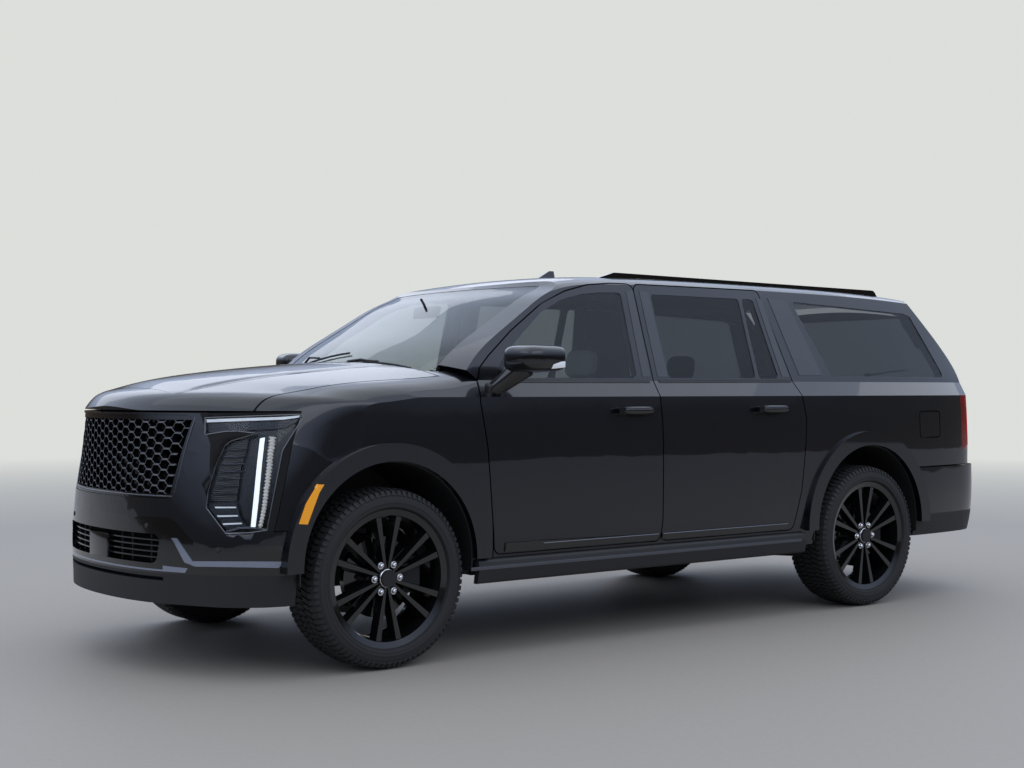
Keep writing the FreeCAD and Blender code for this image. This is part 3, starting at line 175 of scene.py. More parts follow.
# Grained finishes: colour, roughness, metallic, coat, grain scale, grain strength, roughness spread
GRAINED = {
    "gloss_trim": ((0.004, 0.004, 0.005), 0.10, 0.0, 0.6, 14.0, 0.01, 0.03),
    "pillar_gloss": ((0.006, 0.007, 0.010), 0.10, 0.0, 0.8, 14.0, 0.01, 0.03),
    "black_trim": ((0.013, 0.013, 0.014), 0.55, 0.0, 0.0, 900.0, 0.25, 0.1),
    "tread_pad": ((0.020, 0.020, 0.021), 0.7, 0.0, 0.0, 1200.0, 0.4, 0.1),
    "bar_trim": ((0.045, 0.047, 0.053), 0.22, 0.8, 0.4, 300.0, 0.02, 0.05),
    # Next row: lighter metal on the grille mesh bars' fronts, a painted highlight.
    "mesh_highlight": ((0.17, 0.175, 0.19), 0.24, 0.85, 0.0, 300.0, 0.02, 0.05),
    "shadow": ((0.002, 0.002, 0.002), 0.9, 0.0, 0.0, 400.0, 0.1, 0.1),
    "mirror": ((0.62, 0.64, 0.66), 0.03, 1.0, 0.0, 30.0, 0.0, 0.01),
    "lamp_housing": ((0.005, 0.005, 0.006), 0.16, 0.0, 0.0, 200.0, 0.05, 0.1),
    "lamp_edge": ((0.16, 0.165, 0.18), 0.22, 0.8, 0.0, 200.0, 0.02, 0.05),
    "tyre": ((0.014, 0.014, 0.015), 0.70, 0.0, 0.0, 700.0, 0.25, 0.1),
    "wheel_finish": ((0.006, 0.006, 0.007), 0.14, 0.3, 0.8, 60.0, 0.01, 0.04),
    "chrome": ((0.72, 0.73, 0.75), 0.10, 1.0, 0.0, 300.0, 0.01, 0.04),
    "satin_metal": ((0.20, 0.21, 0.23), 0.26, 1.0, 0.0, 500.0, 0.03, 0.08),
    "board_strip": ((0.10, 0.103, 0.115), 0.42, 0.6, 0.0, 600.0, 0.08, 0.1),
    "plate": ((0.42, 0.42, 0.41), 0.45, 0.1, 0.0, 260.0, 0.06, 0.1),
    "frame_steel": ((0.014, 0.014, 0.015), 0.6, 0.2, 0.0, 120.0, 0.4, 0.1),
    "engine_metal": ((0.18, 0.18, 0.19), 0.5, 0.8, 0.0, 160.0, 0.4, 0.1),
    "steel": ((0.35, 0.34, 0.33), 0.38, 1.0, 0.0, 220.0, 0.2, 0.1),
    "interior": ((0.020, 0.020, 0.022), 0.62, 0.0, 0.0, 700.0, 0.35, 0.1),
    "upholstery": ((0.36, 0.35, 0.30), 0.50, 0.0, 0.0, 420.0, 0.5, 0.1),
    "stitching": ((0.10, 0.095, 0.085), 0.8, 0.0, 0.0, 900.0, 0.6, 0.1),
    "floor": ((0.020, 0.020, 0.022), 0.85, 0.0, 0.0, 800.0, 0.6, 0.1),
}
# Lamp finishes: colour, glow strength, roughness, grain scale, grain strength
GLOWING = {
    # Next row glows as lamp light on the mirror's turn light; on the chrome strip atop each headlamp arm
    # the glow is a painted highlight.
    "lamp_and_highlight_glow": ((0.72, 0.76, 0.82), 0.25, 0.18, 100.0, 0.05),
    "lamp_light": ((0.86, 0.91, 1.0), 0.75, 0.35, 60.0, 0.05),
    "lamp_pipe": ((0.66, 0.65, 0.62), 0.16, 0.12, 120.0, 0.05),
    "tail_glow": ((0.55, 0.02, 0.02), 0.25, 0.2, 100.0, 0.05),
}
MATERIALS = {
    "body_paint": paint("body_paint", (0.0024, 0.0031, 0.0060), (0.0085, 0.0115, 0.021)),
    "bright_lip": paint("bright_lip", (0.22, 0.25, 0.33), (0.36, 0.40, 0.50), 0.20),
    "clear_glass": glass("clear_glass", (0.44, 0.48, 0.49), 1.36),
    "dark_glass": glass("dark_glass", (0.19, 0.205, 0.22), 1.36),
    "head_lamp": glass("head_lamp", (0.93, 0.95, 0.96), 1.22),
    "lamp_panel": ribbed(material("lamp_panel", (0.020, 0.023, 0.030), 0.26, 0.5), 40.0, 0.0006),
    "lamp_grid": ribbed(material("lamp_grid", (0.0035, 0.003, 0.003), 0.34, 0.0), 36.0, 0.0012),
    "tail_lamp": ribbed(material("tail_lamp", (0.20, 0.004, 0.006), 0.08, Coat_Weight=0.8),
                        60.0, 0.0004, 0.3),
    "amber": ribbed(glowing("amber", (0.90, 0.36, 0.02), 0.12, 0.25), 70.0, 0.0005, 0.4),
}
for key, (colour, roughness, metallic, coat, scale, strength, spread) in GRAINED.items():
    plain = material(key, colour, roughness, metallic, Coat_Weight=coat)
    MATERIALS[key] = grained(plain, scale, strength, spread)
for key, (colour, glow, roughness, scale, strength) in GLOWING.items():
    MATERIALS[key] = grained(glowing(key, colour, glow, roughness), scale, strength)
for entry in frame["record"]["subparts"]:
    node = nodes[entry["node"]]
    node.data.materials.clear()
    node.data.materials.append(MATERIALS[entry["material_slot"]])


# Rays: through a photograph pixel, or square to a side of the model
def photo_ray(u, v):
    turn = VIEW.to_3x3()
    aim = turn @ Vector(((u - IMAGE_WIDTH / 2) / FOCAL, (IMAGE_HEIGHT / 2 - v) / FOCAL, -1.0))
    return VIEW.translation.copy(), aim.normalized()


def side_ray(x, z):
    return Vector((x, -3.0, z)), Vector((0, 1, 0))


def front_ray(y, z):
    return Vector((-5.0, y, z)), Vector((1, 0, 0))


def rear_ray(y, z):
    return Vector((5.0, y, z)), Vector((-1, 0, 0))


def top_ray(x, y):
    return Vector((x, y, 4.0)), Vector((0, 0, -1))


def skin_of(*names):
    """Ray-casting tree of these CAD nodes' surfaces."""
    places, faces = [], []
    for name in names:
        mesh = nodes[name].data
        first = len(places)
        places += [vertex.co.copy() for vertex in mesh.vertices]
        faces += [[first + index for index in face.vertices] for face in mesh.polygons]
    return BVHTree.FromPolygons(places, faces)


def hit(skin, ray, a, b):
    start, aim = ray(a, b)
    place, normal, _, _ = skin.ray_cast(start, aim)
    if place is None:
        return None
    return place, normal if normal.dot(aim) < 0 else -normal


LEAST_FACING = -0.22


def facing_hit(skin, ray, a, b, reach):
    """The same, or one beside it where the ray falls into a gap or on an edge."""
    first = hit(skin, ray, a, b)
    if first and first[1].dot(ray(a, b)[1]) < LEAST_FACING:
        return first
    for ring in (0.5, 1.0, 1.6):
        for turn in range(8):
            angle = math.tau * turn / 8
            found = hit(skin, ray, a + ring * reach * math.cos(angle), b + ring * reach * math.sin(angle))
            if found and found[1].dot(ray(a, b)[1]) < LEAST_FACING:
                start, aim = ray(a, b)
                normal = found[1]
                along = (found[0] - start).dot(normal) / aim.dot(normal)
                return start + aim * along, normal
    return first


# Meshes
def added(name, data):
    """A new object in the scene."""
    made = bpy.data.objects.new(name, data)
    bpy.context.scene.collection.objects.link(made)
    return made


def applied(made):
    """The object's mesh as its modifiers make it; the modifiers are then taken off."""
    graph = bpy.context.evaluated_depsgraph_get()
    mesh = bpy.data.meshes.new_from_object(made.evaluated_get(graph))
    made.modifiers.clear()
    return mesh


def mesh_from(places, faces):
    """A tidy mesh with its faces turned outward."""
    made = bmesh.new()
    verts = [made.verts.new(place) for place in places]
    for face in faces:
        try:
            made.faces.new([verts[index] for index in face])
        except ValueError:
            continue
    bmesh.ops.recalc_face_normals(made, faces=made.faces[:])
    mesh = bpy.data.meshes.new("mesh")
    made.to_mesh(mesh)
    made.free()
    return mesh


def bands(rings, size, closed=False, whole=True, first=0):
    """Faces between neighbouring rings of places; whole rings are closed ones themselves."""
    faces = []
    for ring in range(rings if closed else rings - 1):
        low, high = first + ring * size, first + (ring + 1) % rings * size
        for index in range(size if whole else size - 1):
            following = (index + 1) % size
            faces.append([low + index, low + following, high + following, high + index])
    return faces


def solid_of(part):
    """A bmesh made of places and faces."""
    made = bmesh.new()
    verts = [made.verts.new(place) for place in part[0]]
    for face in part[1]:
        made.faces.new([verts[index] for index in face])
    return made


def part_of(made):
    """The places and faces of a bmesh, which is freed."""
    made.verts.index_update()
    places = [vert.co.copy() for vert in made.verts]
    faces = [[vert.index for vert in face.verts] for face in made.faces]
    made.free()
    return places, faces


def merged(*parts):
    """One list of places and faces from several."""
    places, faces = [], []
    for part_places, part_faces in parts:
        first = len(places)
        places += part_places
        faces += [[first + index for index in face] for face in part_faces]
    return places, faces


def flipped(part):
    """The same on the other side of the middle plane."""
    places, faces = part
    return [Vector((p[0], -p[1], p[2])) for p in places], [list(reversed(face)) for face in faces]


def twinned(*parts):
    """These parts and their mirror images as one."""
    return merged(*parts, *[flipped(part) for part in parts])


def moved(part, matrix):
    places, faces = part
    return [matrix @ Vector(place) for place in places], faces


def piece(name, part, body, slot, finish=None, angle=35.0):
    """A named piece on a body, from a mesh or places with faces; finish is a material's name."""
    mesh = part if isinstance(part, bpy.types.Mesh) else mesh_from(*part)
    mesh.name = name
    made = added(name, mesh)
    mesh.materials.clear()
    mesh.materials.append(MATERIALS[finish or slot])
    for face in mesh.polygons:
        face.use_smooth = True
    mesh.set_sharp_from_angle(angle=math.radians(angle))
    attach(made, body)
    return made


def pair(name, part, bodies, slot, finish=None, angle=35.0):
    """A left piece and its mirror image on the right, each on its own body."""
    return [piece(name + "_left", part, bodies[0], slot, finish, angle),
            piece(name + "_right", flipped(part), bodies[1], slot, finish, angle)]


def plate(outline, ray, skin, lift=0.0015, depth=0.003, step=0.03, sunk=False):
    """A closed plate whose outline is laid on a surface; a sunk one goes in along the rays."""
    made = bmesh.new()
    made.faces.new([made.verts.new((a, b, 0)) for a, b in outline])
    bmesh.ops.triangulate(made, faces=made.faces[:])
    for axis in (0, 1):
        values = [point[axis] for point in outline]
        count = max(int((max(values) - min(values)) / step), 1)
        for index in range(1, count + 1):
            place, normal = [0, 0, 0], [0, 0, 0]
            place[axis] = min(values) + (max(values) - min(values)) * index / (count + 1)
            normal[axis] = 1
            everything = made.verts[:] + made.edges[:] + made.faces[:]
            bmesh.ops.bisect_plane(made, geom=everything, plane_co=place, plane_no=normal)
    bmesh.ops.remove_doubles(made, verts=made.verts[:], dist=step / 400)
    laid = [facing_hit(skin, ray, vert.co.x, vert.co.y, step / 4) for vert in made.verts]
    made.verts.index_update()
    flat = [(vert.co.x, vert.co.y) for vert in made.verts]
    faces = [[vert.index for vert in face.verts] for face in made.faces]
    rims = [[vert.index for vert in edge.verts] for edge in made.edges if len(edge.link_faces) == 1]
    made.free()
    count = len(laid)
    places = []
    for spread in (lift, -depth):
        for (a, b), found in zip(flat, laid):
            place, normal = found or (Vector(), Vector())
            if sunk:
                normal = -ray(a, b)[1]
            places.append(place + normal * (spread(a, b) if callable(spread) else spread))
    good = [face for face in faces if all(laid[index] for index in face)]
    good_rims = [rim for rim in rims if all(laid[index] for index in rim)]
    shell = good + [[index + count for index in reversed(face)] for face in good]
    shell += [[a, b, b + count, a + count] for a, b in good_rims]
    return pruned(places, shell)


def pruned(places, faces):
    """Without places that no face uses."""
    used = sorted({index for face in faces for index in face})
    order = {index: number for number, index in enumerate(used)}
    return [places[index] for index in used], [[order[index] for index in face] for face in faces]


def path_on(points, ray, skin, lift=0.0, step=0.02):
    """Points along a path laid on a surface, a step apart."""
    laid = []
    for (a0, b0), (a1, b1) in zip(points, points[1:]):
        count = max(int(math.hypot(a1 - a0, b1 - b0) / step), 1)
        for index in range(count):
            share = index / count
            laid.append((a0 + (a1 - a0) * share, b0 + (b1 - b0) * share))
    laid.append(points[-1])
    found = [facing_hit(skin, ray, a, b, step / 4) for a, b in laid]
    return [place + normal * lift for place, normal in (item for item in found if item)]


def tube(points, radius, count=8, closed=False):
    """A round bar along points; radius is one number or one for each point."""
    points = [Vector(point) for point in points]
    radii = radius if isinstance(radius, (list, tuple)) else [radius] * len(points)
    places, side, last = [], None, len(points) - 1
    for index, point in enumerate(points):
        before = points[index - 1] if index or closed else point
        after = points[(index + 1) % len(points)] if index < last or closed else point
        along = (after - before).normalized()
        if side is None:
            side = along.orthogonal().normalized()
        side = (side - along * side.dot(along)).normalized()
        other = along.cross(side)
        for turn in range(count):
            angle = math.tau * turn / count
            places.append(point + (side * math.cos(angle) + other * math.sin(angle)) * radii[index])
    faces = bands(len(points), count, closed)
    if not closed:
        faces.append(list(reversed(range(count))))
        faces.append([last * count + turn for turn in range(count)])
    return places, faces


def revolved(profile, count=96, closed=True):
    """A ring about the Y axis from (radius, y) pairs."""
    places = []
    for turn in range(count):
        angle = math.tau * turn / count
        places += [Vector((r * math.cos(angle), y, r * math.sin(angle))) for r, y in profile]
    return places, bands(count, len(profile), True, closed)


def prism(outline, low, high, axis=1):
    """A bar with this outline, along an axis (0 x, 1 y, 2 z) from low to high."""
    def spot(a, b, c):
        return Vector(((c, a, b), (a, c, b), (a, b, c))[axis])
    count = len(outline)
    places = [spot(a, b, low) for a, b in outline] + [spot(a, b, high) for a, b in outline]
    faces = [list(range(count)), [count + index for index in reversed(range(count))]]
    return places, faces + bands(2, count)


SHARP_ANGLE = math.radians(25)


def bevelled(part, width, segments=2):
    """The same with its sharp edges rounded."""
    made = solid_of(part)
    bmesh.ops.recalc_face_normals(made, faces=made.faces[:])
    sharp = [edge for edge in made.edges
             if len(edge.link_faces) == 2 and edge.calc_face_angle(0) > SHARP_ANGLE]
    bmesh.ops.bevel(made, geom=sharp, offset=width, segments=segments, affect="EDGES", profile=0.6)
    return part_of(made)


def block(centre, size, width=0.004, turn=None, segments=2):
    """A box with rounded edges."""
    a, b, c = [value / 2 for value in size]
    part = bevelled(prism([(-a, -b), (a, -b), (a, b), (-a, b)], -c, c, 2), width, segments)
    matrix = Matrix.Translation(Vector(centre)) @ (turn.to_4x4() if turn else Matrix.Identity(4))
    return moved(part, matrix)


def superform(centre, radii, power=3.0, rings=24, turns=40):
    """A rounded box-like closed form."""
    def bent(value):
        return math.copysign(abs(value) ** (2 / power), value)

    places = []
    for ring in range(1, rings):
        low = math.pi * ring / rings - math.pi / 2
        across = bent(math.cos(low))
        for turn in range(turns):
            angle = math.tau * turn / turns
            unit = (across * bent(math.cos(angle)), across * bent(math.sin(angle)), bent(math.sin(low)))
            places.append(Vector([c + r * value for c, r, value in zip(centre, radii, unit)]))
    faces = bands(rings - 1, turns)
    foot, head, top = len(places), len(places) + 1, (rings - 2) * turns
    for turn in range(turns):
        following = (turn + 1) % turns
        faces += [[foot, following, turn], [head, top + turn, top + following]]
    middle, up = Vector(centre), Vector((0, 0, radii[2]))
    return places + [middle - up, middle + up], faces


def sliced(part, place, normal):
    """The half of a closed form that lies behind a plane, closed again."""
    made = solid_of(part)
    cut = bmesh.ops.bisect_plane(made, geom=made.verts[:] + made.edges[:] + made.faces[:],
                                 plane_co=place, plane_no=normal, clear_outer=True)
    edges = [item for item in cut["geom_cut"] if isinstance(item, bmesh.types.BMEdge)]
    bmesh.ops.edgeloop_fill(made, edges=edges)
    return part_of(made)


def copy_of(name):
    """A node's own shape as a mesh whose matching corners are joined."""
    made = bmesh.new()
    made.from_mesh(nodes[name].data)
    bmesh.ops.remove_doubles(made, verts=made.verts[:], dist=1e-6)
    mesh = bpy.data.meshes.new("copy")
    made.to_mesh(mesh)
    made.free()
    return mesh


def boolean(mesh, tool, operation):
    """The mesh with a closed form cut away from it, or kept of it."""
    base, other = added("base", mesh), added("tool", mesh_from(*tool))
    change = base.modifiers.new("change", "BOOLEAN")
    change.operation = operation
    change.solver = "EXACT"
    change.object = other
    result = applied(base)
    for made in (base, other):
        bpy.data.objects.remove(made)
    return result


# Stage: pale floor, pale surroundings and soft lamps
WALL = (0.72, 0.735, 0.71, 1.0)
FLOOR = (0.330, 0.300, 0.262)
FLOOR_RADIUS = 30.0
FLOOR_CORNERS = 40
FADE_NEAR, FADE_FAR = 7.0, 21.0
SKY_STRENGTH = 1.05
# Light from around by the sine of its height
SKY = ((0.0, (0.060, 0.050, 0.042)), (0.085, (0.055, 0.048, 0.040)), (0.115, (0.16, 0.18, 0.22)),
       (0.22, (0.40, 0.48, 0.66)), (0.5, (0.80, 0.92, 1.18)), (1.0, (0.80, 0.88, 1.0)))
# Lamps: place, aim, width and height, power
LAMPS = {"top": ((0.3, 0.0, 7.0), (0.3, 0, 0), (14.0, 8.0), 120.0),
         "left": ((-2.0, -9.5, 6.2), (0, 0, 1.0), (12.0, 4.0), 120.0),
         "front": ((-10.5, 0.5, 6.0), (-2, 0, 1.0), (8.0, 3.0), 60.0),
         "right": ((1.5, 9.5, 6.2), (0, 0, 1.0), (12.0, 4.0), 90.0),
         "rear": ((10.5, 0.0, 6.0), (2, 0, 1.0), (8.0, 3.0), 50.0)}


def add_world():
    """Sky's light from around, but a plain wall for the camera and straight through glass."""
    world = bpy.data.worlds.new("surroundings")
    bpy.context.scene.world = world
    world.use_nodes = True
    lit = world.node_tree.nodes["Background"]
    split = node_of(world, "SeparateXYZ", Input_0=(node_of(world, "TexCoord"), "Generated"))
    ramp = node_of(world, "ValToRGB", Fac=(split, "Z"))
    elements = ramp.color_ramp.elements
    for element, (position, colour) in zip(elements, (SKY[0], SKY[-1])):
        element.position = position
        element.color = (*colour, 1.0)
    for position, colour in SKY[1:-1]:
        elements.new(position).color = (*colour, 1.0)
    link(world, (ramp, "Color"), lit, "Color")
    lit.inputs["Strength"].default_value = SKY_STRENGTH

    rays = node_of(world, "LightPath")
    bounces = node_of(world, "Math", operation="ADD", use_clamp=True, Input_0=(rays, "Glossy Depth"),
                      Input_1=(rays, "Diffuse Depth"))
    unbounced = node_of(world, "Math", operation="SUBTRACT", Input_0=(rays, "Is Transmission Ray"),
                        Input_1=(bounces, 0))
    either = node_of(world, "Math", operation="MAXIMUM", Input_0=(rays, "Is Camera Ray"),
                     Input_1=(unbounced, 0))
    plain = node_of(world, "Background", Color=WALL)
    mixer = node_of(world, "MixShader", Input_0=(either, 0), Input_1=(lit, 0), Input_2=(plain, 0))
    link(world, (mixer, 0), world.node_tree.nodes["World Output"], "Surface")


def add_floor():
    """Round floor that fades into the wall's colour far off, for the camera alone."""
    places, faces = [Vector()], []
    for index in range(FLOOR_CORNERS):
        angle = math.tau * index / FLOOR_CORNERS
        places.append(Vector((math.cos(angle), math.sin(angle), 0)) * FLOOR_RADIUS)
        faces.append([0, 1 + index, 1 + (index + 1) % FLOOR_CORNERS])
    mesh = mesh_from(places, faces)
    finish = grained(material("stage_floor", FLOOR, 0.62), 40.0, 0.10)
    length = node_of(finish, "VectorMath", operation="LENGTH", Input_0=place_in(finish))
    fade = node_of(finish, "MapRange", From_Min=FADE_NEAR, From_Max=FADE_FAR, Value=(length, "Value"))
    both = node_of(finish, "Math", operation="MULTIPLY", Input_0=(fade, "Result"),
                   Input_1=(node_of(finish, "LightPath"), "Is Camera Ray"))
    shader, wall = finish.node_tree.nodes["Principled BSDF"], node_of(finish, "Emission", Color=WALL)
    mixer = node_of(finish, "MixShader", Input_0=(both, 0), Input_1=(shader, 0), Input_2=(wall, 0))
    link(finish, (mixer, 0), finish.node_tree.nodes["Material Output"], "Surface")
    mesh.materials.append(finish)
    added("floor_plane", mesh)


def add_lamps():
    for name, (spot, aim, size, power) in LAMPS.items():
        data = bpy.data.lights.new("lamp_" + name, "AREA")
        data.shape = "RECTANGLE"
        data.size, data.size_y = size
        data.energy = power
        lamp = added("lamp_" + name, data)
        lamp.location = spot
        lamp.rotation_euler = (Vector(aim) - Vector(spot)).to_track_quat("-Z", "Y").to_euler()


# Front end: bumper, grilles, lamps and hood
def symmetric(half):
    """A closed outline in (y, z) from its right half."""
    return half + [(-y, z) for y, z in reversed(half)]


AHEAD, BEHIND = -3.2, 3.2
# In photograph pixels
LAMP_OUTLINE = [(205.2, 417.8), (300.5, 414.4), (303.6, 417), (292, 434.6), (282.3, 450.7), (276, 482.9),
                (267, 530.2), (249.3, 532.8), (226, 533.6), (206.4, 507.9), (208.2, 491.8), (215.4, 466.8),
                (225.2, 445.4), (231.4, 440.9), (256, 433.5), (238, 431.2), (226, 431.5), (205.0, 434.8)]


def bumper():
    """The bumper's own shape with lamp pockets, parted into its zones."""
    shape, filler = copy_of("front_bumper"), copy_of("headlamps")
    skin = skin_of("front_bumper", "headlamps", "front_fenders")
    pocket = plate(LAMP_OUTLINE, photo_ray, skin, 0.012, 0.044, 5.0, True)
    for tool in (pocket, flipped(pocket)):
        shape = boolean(shape, tool, "DIFFERENCE")
        filler = boolean(filler, tool, "DIFFERENCE")
    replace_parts(piece("headlamp_surround", filler, BODY, "gloss_trim", "shadow"), "headlamps")
    slot = prism(symmetric([(0.53, 0.434), (0.53, 0.451)]), AHEAD, -2.60, 0)
    shape = boolean(shape, slot, "DIFFERENCE")
    zones = (
        ("bumper_valance", "black_trim", [(1.3, 0.20), (1.3, 0.462), (0.86, 0.474), (0.54, 0.466)]),
        ("bumper_lip", "body_paint", [(0.641, 0.476), (0.655, 0.497), (0.53, 0.502), (0.53, 0.484)]),
        ("bumper_lower", "gloss_trim", [(1.3, 0.20), (1.3, 0.612), (0.728, 0.601), (0.684, 0.613),
                                        (0.590, 0.700), (0.552, 0.718)]))
    for name, slot_name, half in zones:
        zone = prism(symmetric(half), AHEAD, -2.0, 0)
        finish = "bright_lip" if name == "bumper_lip" else slot_name
        made = piece(name, boolean(shape.copy(), zone, "INTERSECT"), BODY, slot_name, finish)
        shape = boolean(shape, zone, "DIFFERENCE")
        if name == "bumper_valance":
            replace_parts(made, "front_bumper")
    piece("bumper_upper", shape, BODY, "body_paint", angle=14.0)


def nose_line(z, half, skin, back=0.0, count=48):
    """Points across the nose at one height, this far back from its skin."""
    found = [hit(skin, front_ray, half * (2 * index / count - 1), z) for index in range(count + 1)]
    return [Vector((item[0].x + back, item[0].y, z)) for item in found if item]


def raised(line, back, z):
    return [Vector((point.x + back, point.y, z)) for point in line]


def slat(line, height, depth):
    """A flat bar that follows a line across the nose."""
    profile = ((0, -0.3), (0, 0.3), (0.25, 0.5), (1, 0.5), (1, -0.5), (0.25, -0.5))
    places = [point + Vector((dx * depth, 0, dz * height)) for point in line for dx, dz in profile]
    size = len(profile)
    faces = bands(len(line), size)
    faces += [list(range(size)), [len(places) - size + index for index in reversed(range(size))]]
    return places, faces


# The opening's half width and height, at its foot and its head
GRILLE_OPENING = [(0.5390775, 0.822104), (0.5884935, 1.156794)]
NOSE_REAR, NOSE_GUESS = -2.6, -2.70
SEARCH_STEPS, SEARCH_STEP = 12, 0.004
MESH_ROWS = 14
MESH_RUN = 0.044
MESH_SWING_SHARE = 0.42
MESH_FLAT_SHARE = 0.34
MESH_SLANT = 0.003
MESH_INSET = 0.006
MESH_OVERRUN = 0.004


def grille_mesh(skin, forward, height, depth):
    """Staggered six-sided cells: zigzag bars with flats that meet the bars above and below."""
    (low_half, low_z), (high_half, high_z) = GRILLE_OPENING
    pitch = (high_z - low_z) / MESH_ROWS
    bars = []
    for row in range(MESH_ROWS + 1):
        half = low_half + (high_half - low_half) * row / MESH_ROWS + MESH_OVERRUN
        points = []
        count = int(half / MESH_RUN)
        for index in range(-count, count + 1):
            sign = 1 if (index + row) % 2 else -1
            z = low_z + row * pitch + pitch * MESH_SWING_SHARE * sign
            z = min(max(z, low_z - MESH_OVERRUN), high_z + MESH_OVERRUN)
            for offset in (-MESH_FLAT_SHARE, MESH_FLAT_SHARE):
                y = (index + offset) * MESH_RUN + MESH_SLANT * sign
                if abs(y) < half:
                    points.append(Vector((front_place(skin, y, z) + MESH_INSET - forward, y, z)))
        bars.append(slat(points, height, depth))
    return merged(*bars)


def front_place(skin, y, z):
    """The skin's x at this place across the nose, or the nearest one found beside it."""
    for step in range(SEARCH_STEPS):
        for shift in (step * SEARCH_STEP, -step * SEARCH_STEP):
            found = hit(skin, front_ray, y, z + shift)
            if found and found[0].x < NOSE_REAR:
                return found[0].x
    return NOSE_GUESS


def lower_grille():
    skin = skin_of("front_bumper")
    base = nose_line(0.655, 0.50, skin)
    bars = [slat(raised(base, 0.016, z), 0.010, 0.030) for z in (0.534, 0.560, 0.586, 0.612)]
    piece("lower_grille_bars", merged(*bars), BODY, "gloss_trim", "bar_trim")
    uprights = []
    for y in (-0.42, -0.28, -0.19, 0.19, 0.28, 0.42):
        x = hit(skin, front_ray, y, 0.655)[0].x + 0.034
        uprights.append(block((x, y, 0.573), (0.012, 0.008, 0.124), 0.002))
    piece("lower_grille_struts", merged(*uprights), BODY, "black_trim")
    backing = slat(raised(nose_line(0.655, 0.53, skin), 0.075, 0.560), 0.17, 0.004)
    piece("lower_grille_backing", backing, BODY, "black_trim", "shadow")
    radar = block((-2.868, 0, 0.562), (0.028, 0.21, 0.118), 0.006)
    piece("radar_cover", radar, BODY, "black_trim", "gloss_trim")


def grille():
    skin = skin_of("grille")
    back = raised(nose_line(0.985, 0.56, skin)[::2], 0.085, 0.985)
    piece("grille_backing", slat(back, 0.375, 0.004), BODY, "black_trim", "shadow")
    opening = prism(symmetric(GRILLE_OPENING), AHEAD, -2.2, 0)
    shape = boolean(copy_of("grille"), opening, "DIFFERENCE")
    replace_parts(piece("grille_frame", shape, BODY, "gloss_trim"), "grille")
    mesh = grille_mesh(skin, 0.0, 0.0056, 0.026)
    piece("grille_mesh", mesh, BODY, "gloss_trim")
    # A thinner copy of the mesh just ahead of its bars, in lighter metal: painted highlights on the bars'
    # fronts.
    mesh = grille_mesh(skin, 0.0012, 0.0036, 0.002)
    piece("grille_mesh_highlights", mesh, BODY, "gloss_trim", "mesh_highlight")
    rim = []
    corners, steps = [(0.600, 1.168), (0.560, 0.812), (-0.560, 0.812), (-0.600, 1.168)], 24
    for (y0, z0), (y1, z1) in zip(corners, corners[1:]):
        rim += [(y0 + (y1 - y0) * step / steps, z0 + (z1 - z0) * step / steps) for step in range(steps + 1)]
    edge = path_on(rim, front_ray, skin, 0.001, 0.03)
    piece("grille_edge", tube(edge, 0.0035), BODY, "gloss_trim", "satin_metal")


def bumper_details():
    nose = nose_line(1.174, 0.86, skin_of("front_bumper", "headlamps"), 0.050)
    piece("hood_gap_backing", slat(nose, 0.052, 0.006), BODY, "black_trim", "shadow")
    skin = skin_of("front_bumper")
    trim = [(171.6, 537.9), (177, 538.2), (193, 561.1), (281.4, 561.4), (282.3, 564.1), (278.2, 567.7),
            (195.7, 566.4), (185, 562.3), (174.3, 541.8)]
    part = plate(trim, photo_ray, skin, 0.005, 0.004, 6.0)
    piece("bumper_trim", twinned(part), BODY, "body_paint", "bright_lip")
    profile = [(0.0, 0.004), (0.008, 0.004), (0.0115, 0.0025), (0.0115, -0.004), (0.0, -0.004)]
    sensors = []
    for y, z in ((0.426, 0.676), (0.798, 0.583)):
        place, normal = hit(skin, front_ray, -y, z)
        turn = normal.to_track_quat("Z", "Y").to_matrix().to_4x4()
        matrix = Matrix.Translation(place) @ turn @ Matrix.Rotation(math.pi / 2, 4, "X")
        sensors.append(moved(revolved(profile, 24, False), matrix))
    piece("parking_sensors", twinned(*sensors), BODY, "black_trim")


